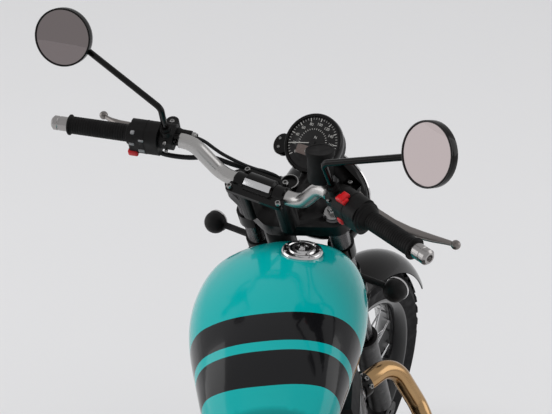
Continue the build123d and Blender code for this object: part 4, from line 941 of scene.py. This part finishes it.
for x, y in ((9, 42), (9, -42), (-38, 54), (-38, -54)):
    join(clamp_screws, cap_screw(5.6, 8), Matrix.Translation((x, y, 137)))
make_piece("clamp_screws", clamp_screws, "steering", bolt_steel, fork)
plate_silver = new_finish("blank_plate_silver", (0.72, 0.72, 0.73), 0.22, metal=1.0, scale=80)
small_plate = key((13, 58, 2.6), 1)
plate_place = facing((-22.6, 0, 150.4), (-0.46, 0, 0.89), up=(0, 1, 0))
make_piece("clamp_plate", small_plate, "steering", plate_silver, fork @ plate_place)

# Ignition lock: a black barrel with a recessed face, ringed in bright steel, standing on the top
# yoke ahead of the clamp.
lock = turned([(0, 36), (17, 36), (17, 64), (14, 66), (14, 60), (0, 60)], 36)
lock_place = fork @ Matrix.Translation((61, -4, 4))
make_piece("ignition_lock", lock, "steering", moulded_black, lock_place)
ring = turned([(16.4, 64), (18.4, 64), (18.6, 65.4), (18, 66), (16.4, 66), (16.4, 64)], 36)
make_piece("ignition_ring", ring, "steering", bolt_steel, lock_place)

# Instrument: a black cup and bezel round a dark dial with printed ticks and numbers, a pale
# needle, a display window, and a side lug with two studs.
gauge_place = fork @ facing((161, 0, 73), (-0.45, 0, 0.89), up=(0.89, 0, 0.45))
dress("gauge_bracket", "gauge", "steering", moulded_black, bevel=0.001)
outline = [(52.5, 0.5), (60.4, -13), (61.2, -10), (61.2, 2), (59.5, 5), (56, 6), (54, 5.4)]
outline += [(52.5, 2.2), (52.5, 0.5)]
bezel = turned(outline, 72)
lug = lofted([(-62, -20, -12, 19, 22), (-63, -20, 0, 19, 22), (-63, -20, 2.6, 17, 20)], 28)
join(bezel, lug, Matrix.Identity(4))
make_piece("gauge_bezel", bezel, "steering", gloss_black, gauge_place)
dial_black = new_finish("dial_black", (0.008, 0.0075, 0.0075), 0.4, coat=0.2)
dial_brown = new_finish(
    "display_window", (0.1, 0.075, 0.065), 0.3, coat=1.0, worn=(0.14, 0.1, 0.09)
)
print_white = new_finish("printed_white", (0.5, 0.49, 0.47), 0.5)
dial = turned([(0, 2.1), (53, 2.1), (53, 2.5), (33, 2.5), (31.5, 3.3), (0, 3.3)], 64)
make_piece("gauge_dial", dial, "steering", dial_black, gauge_place)
display = key((44, 19, 0.8), 0.3)
display_place = gauge_place @ Matrix.Translation((-7, -18, 3.4))
make_piece("gauge_display", display, "steering", dial_brown, display_place)
marks = bmesh.new()
dial_start = 222
dial_sweep = 264
dial_face = 2.7
inner_start = 200
inner_sweep = 220
inner_face = 3.5


def lettering(text, size):
    """Flat raised type, centred on its own place."""
    curve = bpy.data.curves.new("type", "FONT")
    curve.body = text
    curve.size = size
    curve.align_x = "CENTER"
    curve.align_y = "CENTER"
    curve.extrude = 0.1
    sign = bpy.data.objects.new("type", curve)
    data = bpy.data.meshes.new_from_object(sign)
    shell = bmesh.new()
    shell.from_mesh(data)
    bpy.data.objects.remove(sign)
    bpy.data.curves.remove(curve)
    bpy.data.meshes.remove(data)
    return shell


for step in range(41):
    turn = math.radians(dial_start - step * dial_sweep / 40)
    numbered = step % 4 == 0
    long, wide = (7, 1.6) if numbered else (4, 0.8)
    spoke = Matrix.Rotation(turn, 4, "Z") @ Matrix.Translation((52 - long / 2, 0, dial_face))
    join(marks, key((long, wide, 0.3), 0.05), spoke)
    if numbered:
        spot = Matrix.Translation((39 * math.cos(turn), 39 * math.sin(turn), dial_face))
        join(marks, lettering(str(step * 5), 8), spot)
for step in range(24):
    turn = math.radians(inner_start - step * inner_sweep / 23)
    spoke = Matrix.Rotation(turn, 4, "Z") @ Matrix.Translation((28.5, 0, inner_face))
    join(marks, key((3, 1, 0.3), 0.05), spoke)
join(marks, lettering("N", 8), Matrix.Translation((2, 12, inner_face)))
join(marks, lettering("0", 11), Matrix.Translation((-7, -18, 4)))
needle = Matrix.Rotation(math.radians(196), 4, "Z") @ Matrix.Translation((26, 0, 5))
join(marks, key((38, 1.8, 0.8), 0.2), needle)
make_piece("gauge_markings", marks, "steering", print_white, gauge_place)
hub_cap = turned([(0, 3), (6, 3), (6, 6), (5, 7), (0, 7)], 24)
make_piece("needle_hub", hub_cap, "steering", dial_black, gauge_place)
lug_studs = bmesh.new()
for x, y in ((-70, -11), (-67, -28)):
    join(lug_studs, cap_screw(3, 2.4), Matrix.Translation((x, y, 2.4)))
make_piece("gauge_studs", lug_studs, "steering", bolt_steel, gauge_place)

# Headlamp: the black bowl with its pale lens in a chromed ring, and a chromed shield in the
# lens's middle.
dress("headlamp_bowl", "headlamp", "steering", gloss_black)
lamp_axis = Vector((math.cos(rake), 0, -math.sin(rake)))
lamp_place = fork @ facing((152, 0, -84), lamp_axis)
outline = [(84, 30), (92.6, 30), (93.4, 33), (91, 37), (86, 39), (83, 37), (84, 30)]
make_piece("headlamp_ring", turned(outline, 72), "steering", chrome, lamp_place)
lens_glass = new_finish(
    "fluted_lens_glass", (0.75, 0.76, 0.78), 0.05, coat=1.0, worn=(0.5, 0.51, 0.53), scale=60
)
lens = turned([(0, 51.4), (30, 49.8), (60, 44.6), (84.5, 36.6), (84.5, 34), (0, 34)], 64)
make_piece("headlamp_lens", lens, "steering", lens_glass, lamp_place)
bulb_shield = turned([(0, 50), (26, 49), (30, 51.6), (26, 53), (0, 52.6)], 48)
make_piece("headlamp_bulb_shield", bulb_shield, "steering", chrome, lamp_place)

# Indicators: black bullet bodies on stalks with amber lenses, the front ones in bright rims and
# turned with the fork.
dress("front_indicators_moulded", "front_indicators", "steering", moulded_black)
amber = new_finish(
    "amber_lens", (0.62, 0.17, 0.01), 0.18, coat=1.0, worn=(0.5, 0.12, 0.01), scale=120
)
front_lenses = bmesh.new()
rear_lenses = bmesh.new()
front_rims = bmesh.new()
lens_outline = [(0, 18.6), (8, 18.2), (15, 15.8), (17.6, 13), (17.6, 12), (0, 12)]
rim_outline = [(17, 13.6), (24.3, 7.4), (24.3, 4), (25, 5), (24.8, 8), (19, 14.8)]
rim_outline += [(17, 14.6), (17, 13.6)]
for side in (-1, 1):
    place = facing((leg_x, side * 217, -150), lamp_axis)
    join(front_lenses, turned(lens_outline, 32), place)
    join(front_rims, turned(rim_outline, 40), place)
    place = facing((-220, side * 118, 668), (-1, 0, 0))
    join(rear_lenses, turned(lens_outline, 32), place)
make_piece("front_indicator_lenses", front_lenses, "steering", amber, fork)
make_piece("front_indicator_rims", front_rims, "steering", chrome, fork)
make_piece("rear_indicator_lenses", rear_lenses, "frame", amber, bike)


# Cables and hoses: sheathed in black, each one smooth run from the bar to its guide on the
# yoke. The clutch cable leaves its perch through a black sleeve and a steel adjuster.
def tube(name, points, radius, body, finish, place):
    """A round tube along a smooth line of points."""
    curve = bpy.data.curves.new(name, "CURVE")
    curve.dimensions = "3D"
    curve.bevel_depth = radius / 1000
    curve.bevel_resolution = 3
    curve.resolution_u = 8
    curve.use_fill_caps = True
    line = curve.splines.new("NURBS")
    line.points.add(len(points) - 1)
    for spot, point in zip(line.points, points):
        spot.co = (*(place @ Vector(point)), 1)
    line.order_u = 3
    line.use_endpoint_u = True
    curve.materials.append(finish)
    piece = bpy.data.objects.new(name, curve)
    bpy.context.scene.collection.objects.link(piece)
    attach(piece, body)
    return piece


cable_sheath = new_finish("cable_sheath", (0.012, 0.012, 0.013), 0.45, scale=120, bump=0.1)
clutch_start = [left_grip @ Vector((20, -6, along)) for along in (240.3, 280.3)]
loom_start = [left_grip @ Vector((0, up, 196)) for up in (-35.3, -52.3)]
throttle_start = [right_grip @ Vector((10, up, 190)) for up in (-35.3, -56.3)]
yoke_front = 76.5
runs = (
    # name, radius, y at the yoke, points from the bar
    ("brake_hose", 3.2, -36, [(0, -166.8, 195.8), (60, -130, 190), (100, -70, 120)]),
    ("clutch_cable", 3.4, 22, clutch_start + [(16, 110, 156), (20, 88, 142), (34, 60, 112)]),
    ("switch_loom", 5, 42, loom_start + [(-14, 158, 148), (8, 130, 146), (22, 74, 120)]),
    ("throttle_cable", 3.2, -60, throttle_start + [(34, -150, 160), (64, -100, 120)]),
)
for name, radius, yoke_y, points in runs:
    guide = yoke_front + radius
    points = [*points, (guide, yoke_y, 50), (guide, yoke_y, 0)]
    run = tube(name, points, radius, "steering", cable_sheath, fork)
    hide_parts("cables")
toward = (clutch_start[1] - clutch_start[0]).normalized()
adjuster_place = fork @ facing(clutch_start[0], toward)
adjuster = turned([(4, 28), (6.6, 28), (6.6, 34), (5, 35), (5, 38), (4, 38), (4, 28)], 16)
make_piece("clutch_adjuster", adjuster, "steering", bolt_steel, adjuster_place)
sleeve = turned([(4, -6), (11, -6), (11, 4), (9.6, 8), (8.6, 27), (7, 28), (4, 28), (4, -6)], 24)
make_piece("adjuster_sleeve", sleeve, "steering", moulded_black, adjuster_place)

# Tail: a round black lamp with a red lens in a chromed rim, over a blank white number plate on
# its bracket.
dress("rear_lamps_moulded", "rear_lamps", "frame", gloss_black)
red_lens = new_finish(
    "red_lens", (0.42, 0.006, 0.008), 0.16, coat=1.0, worn=(0.34, 0.005, 0.006), scale=120
)
tail_place = bike @ facing((-254, 0, 692.8), (-1, 0, 0.1))
tail = turned([(0, 34), (20, 32), (34, 28.4), (38, 25), (38, 20), (0, 20)], 48)
make_piece("tail_lens", tail, "frame", red_lens, tail_place)
tail_rim = turned([(37.8, 22), (44.6, 22), (45, 25), (42, 28.4), (38.4, 27.4), (37.8, 22)], 56)
make_piece("tail_rim", tail_rim, "frame", chrome, tail_place)
plate_white = new_finish("blank_plate_white", (0.72, 0.72, 0.7), 0.4, coat=0.3)
plate = key((182, 142, 1.4), 0.5)
plate_place = bike @ facing((-298, 0, 600), (-1, 0, 0.35)) @ Matrix.Translation((0, 0, 3.4))
make_piece("number_plate_blank", plate, "frame", plate_white, plate_place)

# Foot pegs: ribbed rubber sleeves on the bars of the rider's pegs, one at each side behind the
# engine.
pegs = bmesh.new()
for side in (-1, 1):
    outline = [(0, 0), (15.4, 0)]
    for step in range(9):
        start = 2 + step * 9
        outline += [(17.4, start), (17.4, start + 5), (15.4, start + 6), (15.4, start + 8)]
    outline += [(15.4, 88), (0, 88)]
    join(pegs, turned(outline, 24), facing((505, side * 202, 318), (0, side, 0)))
make_piece("foot_pegs_rubber", pegs, "frame", grip_rubber, bike)

# Seat: a long padded bench in black grained leather, its cover blown out by the foam and drawn
# down between the rolls that cross its top.
rubbed_black = (0.024, 0.022, 0.021)
seat_leather = new_finish(
    "black_seat_leather", (0.016, 0.015, 0.015), 0.48, worn=rubbed_black, scale=30, bump=0.35
)
seat = dress("seat_bench", "seat", "frame", seat_leather)


def settle(piece):
    """Replace a piece's mesh by what its modifiers make of it at this frame."""
    bpy.context.view_layer.update()
    made = piece.evaluated_get(bpy.context.evaluated_depsgraph_get())
    data = bpy.data.meshes.new_from_object(made)
    piece.modifiers.clear()
    piece.data = data
    return [vert.co.copy() for vert in data.vertices]


# The cover starts a little small, is blown out by its foam and stays pinned to its pan.
shrunk = 0.985
longest_move = 0.009
groove_depth = 0.0045
groove_width = 5
middle = bike @ Vector((236, 0, 770))
for vert in seat.data.vertices:
    vert.co = middle + (vert.co - middle) * shrunk
even = seat.modifiers.new("even", "REMESH")
even.mode = "VOXEL"
even.voxel_size = 0.006
before = settle(seat)
pinned = seat.vertex_groups.new(name="pan")
below = [vert.index for vert in seat.data.vertices if vert.normal.dot(bike_up) < -0.4]
pinned.add(below, 1, "ADD")
cover = seat.modifiers.new("cover", "CLOTH")
cover.settings.use_pressure = True
cover.settings.uniform_pressure_force = 4
cover.settings.effector_weights.gravity = 0
cover.settings.vertex_group_mass = "pan"
for moment in range(1, 21):
    bpy.context.scene.frame_set(moment)
after = settle(seat)
bpy.context.scene.frame_set(1)
rolls = [-88 + 44 * step for step in range(14)]
for vert, start, end in zip(seat.data.vertices, before, after):
    moved = end - start
    if moved.length > longest_move:
        moved.length = longest_move
    vert.co = start + moved
seat.data.update()
normals = [vert.normal.copy() for vert in seat.data.vertices]
for vert, normal in zip(seat.data.vertices, normals):
    spot = into_bike @ vert.co
    upward = min(max((normal.dot(bike_up) - 0.35) * 3, 0), 1)
    groove = max(math.exp(-(((spot.x - roll) / groove_width) ** 2)) for roll in rolls)
    vert.co -= normal * groove_depth * upward * groove
for face in seat.data.polygons:
    face.use_smooth = True
round_off = seat.modifiers.new("round_off", "SUBSURF")
round_off.levels = 1
round_off.render_levels = 1
